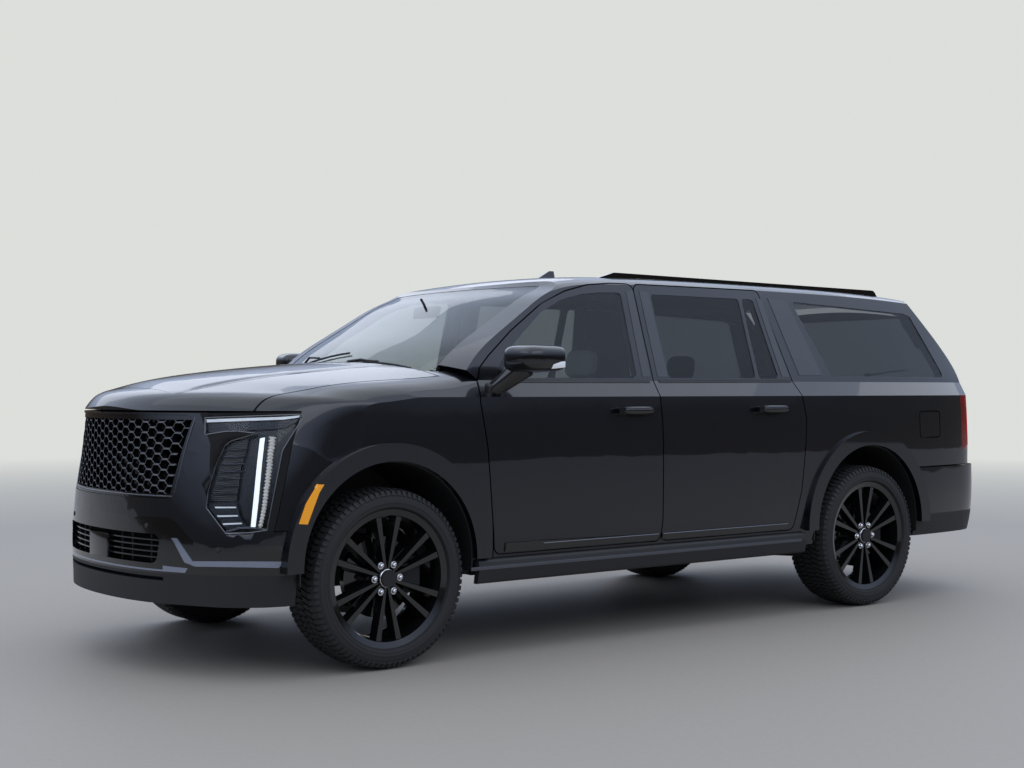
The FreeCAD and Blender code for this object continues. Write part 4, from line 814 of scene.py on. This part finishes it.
def headlamps():
    """Clear lens over a dark pocket, with a light strip, a glowing chrome strip as painted highlight, a
    ribbed pipe and small lines inside.
    """
    skin = skin_of("front_bumper", "headlamps", "front_fenders")
    lens = plate(LAMP_OUTLINE, photo_ray, skin, 0.0006, 0.0020, 4.0)
    piece("headlamp_lens", twinned(lens), BODY, "head_lamp")
    back = plate(LAMP_OUTLINE, photo_ray, skin, -0.0380, 0.0430, 5.0, True)
    piece("headlamp_housing", twinned(back), BODY, "gloss_trim", "lamp_housing")
    rim = path_on(LAMP_OUTLINE + LAMP_OUTLINE[:1], photo_ray, skin, 0.0004, 3.0)
    edge = tube(rim[:-1], 0.0026, 6, True)
    piece("headlamp_edge", twinned(edge), BODY, "gloss_trim", "lamp_edge")

    # Parts inside, with their outlines in photograph pixels
    for name, lift, depth, finish, outline in (
            ("lamp_arm_panel", -0.016, 0.022, "lamp_panel",
             [(206.5, 423.5), (284, 420.8), (298, 418.6), (299, 420), (287, 427), (281, 428.5),
              (238, 430.6), (206.5, 433.6)]),
            # The chrome strip along the arm's top glows: painted highlight.
            ("lamp_arm_chrome_glow", -0.004, 0.012, "lamp_and_highlight_glow",
             [(206.5, 419.4), (284, 416.8), (300, 415.4), (299, 417.4), (284, 419.6), (206.8, 422.4)]),
            ("lamp_ribbed_panel", -0.018, 0.024, "lamp_grid",
             [(226.5, 448), (233, 442.5), (249.5, 438.5), (240.5, 470), (236.5, 501), (209.8, 501),
              (212.2, 488), (218, 465)]),
            ("lamp_lower_panel", -0.012, 0.016, "lamp_panel",
             [(209.8, 503), (236.8, 503), (240, 517), (247.5, 526.5), (228, 531), (224, 526),
              (208.6, 507.5)]),
            ("lamp_strip", -0.006, 0.014, "lamp_light",
             [(260, 438.6), (265, 437.3), (261.8, 465), (258.6, 500.7), (255.5, 527.1), (250.7, 527.1),
              (253.8, 497), (257.3, 461.4)]),
            ("lamp_base_trim", -0.004, 0.008, "satin_metal",
             [(226, 530.8), (238.6, 526.9), (249.3, 526.6), (267, 528.6), (266.4, 530.2), (249.3, 528.6),
              (239, 529), (226.5, 533)])):
        part = plate(outline, photo_ray, skin, lift, depth, 5.0, True)
        piece(name, twinned(part), BODY, "head_lamp", finish)
    small = [[(214.2, 506.6), (235.4, 506.6), (235.5, 508.0), (214.6, 508.2)],
             [(216.4, 515.3), (237, 515.0), (237.4, 516.4), (217, 517.0)],
             [(222, 523.3), (241, 522.6), (241.6, 524.0), (222.6, 525.0)]]
    parts = [plate(outline, photo_ray, skin, -0.006, 0.008, 6.0) for outline in small]
    piece("lamp_small_lines", twinned(*parts), BODY, "head_lamp", "lamp_and_highlight_glow")
    parts = []
    for index in range(7):
        drop = index * 7.4
        left, right, v = 226 - drop * 0.30, 247 - drop * 0.22, 449 + drop
        outline = [(left, v), (right, v - 1.2), (right, v), (left, v + 1.2)]
        parts.append(plate(outline, photo_ray, skin, -0.014, 0.004, 6.0))
    piece("lamp_panel_ribs", twinned(*parts), BODY, "head_lamp", "lamp_panel")
    axis = [(272, 436.4), (268, 473.9), (263.6, 509.6), (259.6, 527.5)]
    axis = path_on(axis, photo_ray, skin, -0.024, 0.84)
    count = len(axis)
    radii = [(0.0165 - 0.006 * index / count) * (1.0 if index % 4 < 2 else 0.62) for index in range(count)]
    pipe = tube(axis, radii, 16)
    piece("lamp_pipe", twinned(pipe), BODY, "head_lamp", "lamp_pipe")


DOME_FRONT, DOME_REAR, DOME_HALF, DOME_HEIGHT = -2.700, -1.575, 0.440, 0.0065


def hood_dome():
    """Raised middle of the hood, which fades into its skin at the edges."""
    skin = skin_of("hood")
    outline = [(DOME_FRONT, -DOME_HALF), (-2.360, -0.505), (-1.930, -0.525), (DOME_REAR, -0.500)]
    outline += [(x, -y) for x, y in reversed(outline)]

    def share(value):
        return min(max(value, 0.0), 1.0)

    def rise(x, y):
        half = DOME_HALF + 0.085 * share((x - DOME_FRONT) / 0.60) - 0.025 * share((x + 1.93) / 0.35)
        inset = share(min((half - abs(y)) / 0.040, (x - DOME_FRONT) / 0.160, (DOME_REAR - x) / 0.060))
        return 0.0006 + DOME_HEIGHT * inset * inset * (3 - 2 * inset)

    part = plate(outline, top_ray, skin, rise, 0.001, 0.016)
    piece("hood_centre", part, "hood_assembly", "body_paint", angle=60.0)


def side_markers():
    skin = skin_of("wheel_arch_mouldings")
    outline = [(317.2, 484.5), (324.0, 484.5), (319.0, 493), (307.4, 524.5), (298.8, 524), (305.7, 504)]
    part = plate(outline, photo_ray, skin, 0.0035, 0.003, 1.6)
    piece("side_markers", twinned(part), BODY, "head_lamp", "amber")


# Sides
DOORS = {"front": ("front_door_assembly_left", "front_door_assembly_right"),
         "rear": ("rear_door_assembly_left", "rear_door_assembly_right")}


def sides():
    skins = {"front": skin_of("front_door_left"), "rear": skin_of("rear_door_left"),
             "body": skin_of("body_sides")}

    def laid(end, outline, lift, depth, step):
        """A plate on a door's or the body's side; x counts from the front axle."""
        return plate([(x + FRONT_AXLE, z) for x, z in outline], side_ray, skins[end], lift, depth, step)

    for name, end, slot, finish, lift, depth, step, outline in (
            ("front_door_moulding", "front", "gloss_trim", "gloss_trim", 0.006, 0.003, 0.12,
             [(0.663, 0.502), (1.683, 0.502), (1.683, 0.531), (0.905, 0.531), (0.880, 0.545),
              (0.663, 0.545)]),
            ("rear_door_moulding", "rear", "gloss_trim", "gloss_trim", 0.006, 0.003, 0.12,
             [(1.713, 0.502), (2.655, 0.502), (2.690, 0.515), (2.700, 0.531), (1.713, 0.531)]),
            ("front_belt_seal", "front", "black_trim", "black_trim", 0.0025, 0.004, 0.10,
             [(0.700, 1.328), (1.672, 1.330), (1.672, 1.345), (0.700, 1.343)]),
            ("rear_belt_seal", "rear", "black_trim", "black_trim", 0.0025, 0.004, 0.10,
             [(1.740, 1.330), (2.785, 1.336), (2.785, 1.351), (1.740, 1.345)]),
            ("front_pillar_cover", "front", "gloss_trim", "pillar_gloss", 0.002, 0.003, 0.10,
             [(1.628, 1.362), (1.684, 1.362), (1.688, 1.832), (1.636, 1.822)]),
            ("rear_pillar_cover", "rear", "gloss_trim", "pillar_gloss", 0.002, 0.003, 0.10,
             [(1.738, 1.362), (1.816, 1.362), (1.800, 1.822), (1.734, 1.832)]),
            ("rear_pillar_cover_aft", "rear", "gloss_trim", "pillar_gloss", 0.002, 0.003, 0.08,
             [(2.718, 1.366), (2.780, 1.366), (2.690, 1.820), (2.646, 1.822)])):
        pair(name, laid(end, outline, lift, depth, step), DOORS[end], slot, finish)
    cover = [(2.868, 1.378), (3.070, 1.378), (2.905, 1.818), (2.748, 1.828)]
    cover = laid("body", cover, 0.002, 0.003, 0.08)
    piece("side_panel_covers", twinned(cover), BODY, "gloss_trim", "pillar_gloss")
    for end, start, stop, handle in (("front", 0.900, 1.683, 1.517), ("rear", 1.713, 2.690, 2.561)):
        # A satin-metal bead along each moulding's top edge: painted highlight line.
        line = [(start + FRONT_AXLE, 0.531), (stop + FRONT_AXLE, 0.531)]
        highlight_bead = path_on(line, side_ray, skins[end], 0.0062, 0.05)
        pair(end + "_door_highlight_line", tube(highlight_bead, 0.0028), DOORS[end], "gloss_trim", "satin_metal")
        turns = [math.tau * index / 28 for index in range(28)]
        cup = [(handle + 0.062 * math.cos(turn), 1.172 + 0.033 * math.sin(turn)) for turn in turns]
        pair(end + "_handle_cup", laid(end, cup, 0.0008, 0.002, 0.03), DOORS[end], "gloss_trim", "shadow")
        x = handle + FRONT_AXLE
        grip = superform((x, -1.0275, 1.1855), (0.130, 0.0155, 0.0205), 3.2, 18, 40)
        pair(end + "_handle_grip", grip, DOORS[end], "gloss_trim")
        # A thin satin-metal bar along the grip: painted highlight.
        highlight_bead = block((x - 0.005, -1.0425, 1.1900), (0.19, 0.0025, 0.0035), 0.001)
        pair(end + "_handle_highlight_line", highlight_bead, DOORS[end], "gloss_trim", "satin_metal")


def boards():
    skin = skin_of("running_boards")
    start, end = FRONT_AXLE + 0.445, FRONT_AXLE + 2.790
    strip = [(start, 0.4245), (end, 0.4245), (end, 0.4410), (start, 0.4410)]
    part = plate(strip, side_ray, skin, 0.0012, 0.003, 0.15)
    piece("board_strips", twinned(part), BODY, "steel", "board_strip")
    outer = abs(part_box("running_boards")[0][1])
    ribs = []
    for index in range(5):
        y = -(outer - 0.034 - index * 0.011)
        for start, end in ((-1.20, -0.42), (-0.12, 0.70)):
            found = hit(skin, top_ray, (start + end) / 2, y)
            if found:
                place = ((start + end) / 2, y, found[0].z + 0.001)
                ribs.append(block(place, (end - start, 0.0045, 0.004), 0.001))
    piece("board_treads", twinned(*ribs), BODY, "black_trim", "tread_pad")


def mirrors():
    """Painted upper housing, gloss lower housing, foot, glass and turn light."""
    places, faces = superform((-1.150, -1.150, 1.4430), (0.132, 0.1120, 0.0695), 3.9, 28, 56)
    for place in places:
        outward = abs(place.y) - 1.042
        place.x += 0.16 * outward - 0.012
        place.z += 0.05 * outward * (1 if place.z < 1.449 else -0.4)
    whole = sliced((places, faces), Vector((-1.050, 0, 0)), Vector((1, 0, 0)))
    tilt = Vector((0.10, 0.18, 1.0)).normalized()
    upper = sliced(whole, Vector((-1.15, -1.15, 1.432)), -tilt)
    lower = sliced(whole, Vector((-1.15, -1.15, 1.4305)), tilt)
    bodies = DOORS["front"]
    caps = pair("mirror_cap", upper, bodies, "body_paint", angle=50.0)
    pair("mirror_base", lower, bodies, "gloss_trim", angle=50.0)
    for made, side in zip(caps, ("left", "right")):
        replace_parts(made, "door_mirror_" + side)
    arm_line = [(-1.262, -0.950, 1.290), (-1.245, -0.985, 1.312), (-1.215, -1.030, 1.350),
                (-1.190, -1.075, 1.388), (-1.170, -1.105, 1.410)]
    arm = tube(arm_line, [0.040, 0.043, 0.048, 0.055, 0.056], 20)
    pair("mirror_arm", arm, bodies, "gloss_trim", angle=50.0)
    foot = block((-1.258, -0.962, 1.288), (0.105, 0.050, 0.070), 0.014, Matrix.Rotation(0.35, 3, "X"), 3)
    pair("mirror_foot", foot, bodies, "black_trim")
    face = superform((-1.050, -1.150, 1.447), (0.004, 0.092, 0.050), 3.6, 16, 40)
    pair("mirror_glass", face, bodies, "clear_glass", "mirror")
    outline = [(551.5, 368.5), (553.5, 364.4), (561.5, 361.6), (570.2, 361.0), (570.6, 366.2), (562, 367.6)]
    part = plate(outline, photo_ray, BVHTree.FromPolygons(*whole), 0.0016, 0.003, 3.0)
    pair("mirror_lamp", part, bodies, "head_lamp", "lamp_and_highlight_glow")


# Wheels
TREAD_PITCHES, TREAD_DEPTH, TREAD_FLAT, TREAD_DROP = 84, 0.0095, 0.112, 0.75
# Profiles in (radius, y)
NUT = [(0.0, 0.016), (0.006, 0.0158), (0.0105, 0.013), (0.0125, 0.008), (0.0125, -0.006), (0.0, -0.006)]
WASHER = [(0.0125, 0.0012), (0.0165, 0.0012), (0.0165, -0.003), (0.0125, -0.003)]
CENTRE_CAP = [(0.0, 0.0085), (0.020, 0.0082), (0.034, 0.0065), (0.0375, 0.004), (0.0375, -0.022),
              (0.0, -0.022)]
CAP_RING = [(0.0378, 0.0), (0.0385, 0.0055), (0.041, 0.0062), (0.0432, 0.0045), (0.0436, -0.002)]
NUT_COUNT, NUT_CIRCLE = 6, 0.070


def tyre_part():
    """Tyre about the Y axis, facing +Y: carcass with rings, and its tread blocks."""
    base = AXLE_Z - TREAD_DEPTH
    side = [(0.3228, 0.104), (0.3228, 0.124), (0.331, 0.1395), (0.340, 0.1418), (0.3415, 0.1402),
            (0.349, 0.1412), (0.3505, 0.1425), (0.3565, 0.1425), (0.358, 0.1410), (0.370, 0.1400),
            (0.379, 0.1378), (0.3800, 0.1362), (0.3835, 0.1350), (0.3855, 0.1362), (0.394, 0.1310),
            (0.4015, 0.1230), (base, 0.110)]
    profile = side + [(base, 0.0)] + [(r, -y) for r, y in reversed(side)]
    inner = [(0.345, 0.108), (0.392, 0.112), (0.400, 0.09)]
    profile += [(r, -y) for r, y in inner] + inner[::-1]
    carcass = revolved(profile, 144)
    places, faces = [], []

    def at(angle, radius, y):
        return Vector((radius * math.cos(angle), y, radius * math.sin(angle)))

    def close(first, size):
        """The sides and both ends of the last two rings."""
        faces.extend(bands(2, size, first=first))
        faces.append([first + index for index in reversed(range(size))])
        faces.append([first + size + index for index in range(size)])

    def add(corners):
        """A tread block from four (angle, y) corners; it drops beyond the tread's flat width."""
        first = len(places)
        for radius in (base - 0.003, AXLE_Z):
            for angle, y in corners:
                places.append(at(angle, radius - max(abs(y) - TREAD_FLAT, 0.0) * TREAD_DROP, y))
        close(first, 4)

    step = math.tau / TREAD_PITCHES
    rows = ((0.4085, 0.1285), (0.3990, 0.1345), (0.3870, 0.1392))
    for pitch in range(TREAD_PITCHES):
        start = pitch * step
        wide = step * (0.74 if pitch % 3 else 0.66)
        rib, inside, edge, lean = (start + step * share for share in (0.30, 0.15, 0.10, 0.5))
        for sign in (-1, 1):
            add([(start, sign * 0.084), (edge, sign * 0.1285), (edge + wide, sign * 0.1285),
                 (start + wide, sign * 0.084)])
            add([(lean, sign * 0.034), (inside, sign * 0.078), (inside + wide, sign * 0.078),
                 (lean + wide, sign * 0.034)])
            first = len(places)
            for angle in (edge, edge + wide * 0.8):
                places += [at(angle, r, sign * y) for r, y in rows]
                places += [at(angle, r - 0.010, sign * (y - 0.012)) for r, y in reversed(rows)]
            close(first, 6)
        add([(start, -0.028), (rib, 0.0), (rib + wide, 0.0), (start + wide, -0.028)])
        add([(rib, 0.0), (start, 0.028), (start + wide, 0.028), (rib + wide, 0.0)])
    return merged(carcass, (places, faces))


def wheels():
    tyre = tyre_part()
    nut = merged(bevelled(revolved(NUT, 6, False), 0.0008, 1), revolved(WASHER, 20))
    cap, ring = revolved(CENTRE_CAP, 64, False), revolved(CAP_RING, 64)
    for end, x in (("front", FRONT_AXLE), ("rear", REAR_AXLE)):
        for side, sign in (("left", -1), ("right", 1)):
            body = f"{end}_wheel_assembly_{side}"
            centre = Vector((x, sign * WHEEL_Y, AXLE_Z))
            turn = Matrix.Rotation(math.pi, 4, "Z") if sign < 0 else Matrix()
            turn = Matrix.Translation(centre) @ turn
            made = piece(f"{end}_tyre_tread_{side}", moved(tyre, turn), body, "tyre", angle=30.0)
            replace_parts(made, f"{end}_tyre_{side}")
            start = centre + Vector((0.060, sign * 0.5, 0.02))
            face = skin_of(f"{end}_wheel_{side}").ray_cast(start, Vector((0, -sign, 0)))[0]
            face_y = abs(face.y - centre.y)
            nuts = []
            for index in range(NUT_COUNT):
                angle = math.tau * (index + 0.5) / NUT_COUNT + math.pi / 2
                spot = (NUT_CIRCLE * math.cos(angle), face_y, NUT_CIRCLE * math.sin(angle))
                nuts.append(moved(nut, turn @ Matrix.Translation(spot)))
            piece(f"{end}_wheel_nuts_{side}", merged(*nuts), body, "steel", "chrome")
            spot = turn @ Matrix.Translation((0, face_y, 0))
            piece(f"{end}_centre_cap_{side}", moved(cap, spot), body, "wheel_finish", "gloss_trim")
            piece(f"{end}_cap_ring_{side}", moved(ring, spot), body, "steel", "chrome")


# Rear end and wipers
def rear_end():
    gate = skin_of("liftgate")
    # Plates on the liftgate: half widths and heights of their foot and head come last
    for name, slot, finish, lift, depth, step, (low_half, low, high_half, high) in (
            ("plate_recess", "black_trim", "black_trim", 0.0010, 0.003, 0.06, (0.29, 0.985, 0.27, 1.115)),
            ("blank_plate", "steel", "plate", 0.0045, 0.0015, 0.06, (0.155, 0.992, 0.155, 1.100)),
            ("gate_bar", "gloss_trim", "gloss_trim", 0.008, 0.003, 0.06, (0.34, 1.122, 0.345, 1.158)),
            ("high_stop_lamp", "tail_lamp", "tail_lamp", 0.001, 0.003, 0.04, (0.17, 1.772, 0.17, 1.786))):
        outline = [(-low_half, low), (low_half, low), (high_half, high), (-high_half, high)]
        piece(name, plate(outline, rear_ray, gate, lift, depth, step), GATE, slot, finish)
    edge = path_on([(-0.335, 1.140), (0.335, 1.140)], rear_ray, gate, 0.0085, 0.04)
    piece("gate_line", tube(edge, 0.0032), GATE, "steel", "satin_metal")
    wiper = [(0.0, 1.385), (-0.15, 1.402), (-0.36, 1.420)]
    wiper = path_on(wiper, rear_ray, skin_of("liftgate_glass"), 0.012, 0.03)
    hub = block(wiper[0] + Vector((0.004, 0, 0)), (0.020, 0.05, 0.036), 0.007)
    piece("rear_wiper", merged(tube(wiper, 0.0052), hub), GATE, "black_trim")

    zone = prism(symmetric([(1.3, 0.20), (1.3, 0.520), (0.78, 0.520), (0.70, 0.575)]), 1.5, BEHIND, 0)
    shape = copy_of("rear_bumper")
    lower = boolean(shape.copy(), zone, "INTERSECT")
    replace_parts(piece("rear_bumper_lower", lower, BODY, "black_trim"), "rear_bumper")
    upper = boolean(shape, zone, "DIFFERENCE")
    piece("rear_bumper_upper", upper, BODY, "body_paint")
    outline = [(0.60, 0.455), (0.83, 0.455), (0.83, 0.482), (0.60, 0.482)]
    part = plate(outline, rear_ray, skin_of("rear_bumper"), 0.0015, 0.003, 0.05)
    piece("rear_reflectors", twinned(part), BODY, "tail_lamp")
    lamps = skin_of("tail_lamps")
    strips = [tube(path_on([(y, 0.935), (y, 1.240)], rear_ray, lamps, 0.0006, 0.02), 0.0030)
              for y in (0.872, 0.905)]
    piece("tail_lamp_lines", twinned(*strips), BODY, "tail_lamp", "tail_glow")


def wipers():
    skin = skin_of("windshield")
    parts = []
    for start, end, foot in (((-1.520, 0.60), (-1.474, 0.02), (-1.545, 0.56)),
                             ((-1.540, -0.06), (-1.500, -0.60), (-1.565, -0.10))):
        blade = path_on([start, end], top_ray, skin, 0.010, 0.03)
        parts.append(tube(blade, 0.0055))
        middle = blade[len(blade) // 2]
        low = blade[0].z
        arm = [(foot[0], foot[1], low + 0.006), (foot[0] + 0.02, foot[1] - 0.10, low + 0.016),
               middle + Vector((-0.004, 0.10, 0.012)), middle + Vector((0, 0, 0.008))]
        parts.append(tube(arm, [0.008, 0.007, 0.006, 0.005]))
    piece("wiper_arms", merged(*parts), BODY, "black_trim")


# Interior
SEAT_STARTS = {"front": -0.894, "rear": 0.692}
SEAT_MIDDLE = 0.424
FLOOR_TOP = 0.500
BACK_LEAN = 14.0
PAD_PRESSURE = 3.5
PAD_FRAMES = 15


def puffed(name, part, cap=0.014, voxel=0.016):
    """A pad blown up from a smaller form by cloth simulation, its swelling capped."""
    made = added(name, mesh_from(*part))
    remesh = made.modifiers.new("remesh", "REMESH")
    remesh.mode = "VOXEL"
    remesh.voxel_size = voxel
    made.data = applied(made)
    start = [vert.co.copy() for vert in made.data.vertices]
    settings = made.modifiers.new("cloth", "CLOTH").settings
    settings.use_pressure = True
    settings.uniform_pressure_force = PAD_PRESSURE
    settings.effector_weights.gravity = 0.0
    settings.quality = 4
    for number in range(1, PAD_FRAMES + 1):
        bpy.context.scene.frame_set(number)
    blown = applied(made)
    for vert, first in zip(blown.vertices, start):
        travel = vert.co - first
        if travel.length > cap:
            vert.co = first + travel * (cap / travel.length)
    made.data = blown
    bpy.context.scene.frame_set(1)
    smooth = made.modifiers.new("smooth", "SUBSURF")
    smooth.levels = smooth.render_levels = 1
    mesh = applied(made)
    bpy.data.objects.remove(made)
    return mesh


def leaned(place, degrees):
    return Matrix.Translation(place) @ Matrix.Rotation(math.radians(degrees), 4, "Y")


def seat_pads():
    """Cushion, back and headrest forms about one place, for the front left place."""
    cushion = superform((0.285, 0.0, 0.225), (0.268, 0.252, 0.095), 5.0, 16, 40)
    back = superform((0, 0, 0), (0.060, 0.245, 0.300), 4.5, 20, 36)
    rest = superform((0, 0, 0), (0.040, 0.118, 0.082), 3.6, 16, 32)
    bolsters = []
    for sign in (-1, 1):
        side = superform((0, 0, 0), (0.036, 0.042, 0.245), 2.6, 16, 24)
        bolsters.append(moved(side, leaned((0.492, sign * 0.215, 0.545), BACK_LEAN)))
        bolsters.append(superform((0.285, sign * 0.222, 0.300), (0.230, 0.040, 0.034), 2.6, 14, 24))
    back = moved(back, leaned((0.540, 0, 0.555), BACK_LEAN))
    return cushion, back, moved(rest, leaned((0.650, 0, 0.935), 9.0)), bolsters


def copied(mesh, matrix):
    made = mesh.copy()
    made.transform(matrix)
    return made


def seats():
    cushion, back, rest, bolsters = seat_pads()
    forms = {"cushion": puffed("pad_a", cushion), "back": puffed("pad_b", back),
             "headrest": puffed("pad_c", rest, 0.010, 0.012)}
    for index, form in enumerate(bolsters):
        forms[f"bolster{index}"] = puffed(f"pad_{index}", form, 0.006, 0.012)
    base = block((0.285, 0, 0.070), (0.50, 0.46, 0.135), 0.02)
    shell = moved(block((0.062, 0, 0), (0.020, 0.44, 0.56), 0.008), leaned((0.540, 0, 0.555), BACK_LEAN))
    posts = [tube([(0.606, dy, 0.80), (0.645, dy, 0.92)], 0.006) for dy in (-0.055, 0.055)]
    seams = [tube([(0.045, dy, 0.327), (0.25, dy, 0.331), (0.46, dy, 0.322)], 0.0022)
             for dy in (-0.15, 0.15)]
    for row, start in SEAT_STARTS.items():
        for side, y in (("left", -SEAT_MIDDLE), ("right", SEAT_MIDDLE)):
            place = Matrix.Translation((start, y, FLOOR_TOP))
            for kind, mesh in forms.items():
                name = f"{row}_seat_{kind}_{side}"
                made = piece(name, copied(mesh, place), BODY, "upholstery", angle=60.0)
                if name == "front_seat_cushion_left":
                    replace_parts(made, "seats")
            shape = moved(merged(base, shell, *posts), place)
            piece(f"{row}_seat_frame_{side}", shape, BODY, "interior")
            shape = moved(merged(*seams), place)
            piece(f"{row}_seat_seams_{side}", shape, BODY, "upholstery", "stitching")


def cabin():
    screen = block((-0.905, -0.20, 1.255), (0.018, 0.86, 0.120), 0.008, Matrix.Rotation(-0.20, 3, "Y"), 3)
    piece("dash_screen", screen, BODY, "gloss_trim")
    vents = [block((-0.898, y, 1.150), (0.020, 0.15, 0.040), 0.006) for y in (-0.70, -0.06, 0.14, 0.62)]
    piece("dash_vents", merged(*vents), BODY, "interior", "shadow")
    trim = [(-0.889, -0.74 + 1.48 * index / 20, 1.195) for index in range(21)]
    piece("dash_trim", tube(trim, 0.006), BODY, "steel", "satin_metal")
    outline = [(-0.93, 0.502), (-0.93, 0.95), (-0.70, 0.86), (-0.15, 0.82), (-0.12, 0.502)]
    console = bevelled(prism(outline, -0.125, 0.125, 1), 0.02, 3)
    piece("centre_console", console, BODY, "interior")
    pad = superform((0, 0, 0), (0.075, 0.085, 0.022), 2.6, 14, 32)
    pad = moved(pad, leaned((-0.846, -0.396, 1.150), 64.0))
    piece("steering_pad", pad, "steering_wheel_assembly", "interior")
    mirror = block((-0.995, 0, 1.715), (0.016, 0.24, 0.066), 0.008, Matrix.Rotation(0.25, 3, "Y"), 3)
    stem = tube([(-1.000, 0, 1.735), (-1.035, 0, 1.790)], 0.007)
    piece("inside_mirror", merged(mirror, stem), BODY, "interior")


add_camera()
add_world()
add_floor()
add_lamps()
bumper()
lower_grille()
grille()
bumper_details()
headlamps()
hood_dome()
side_markers()
sides()
boards()
mirrors()
wheels()
rear_end()
wipers()
seats()
cabin()
bpy.context.scene.view_settings.view_transform = "Standard"
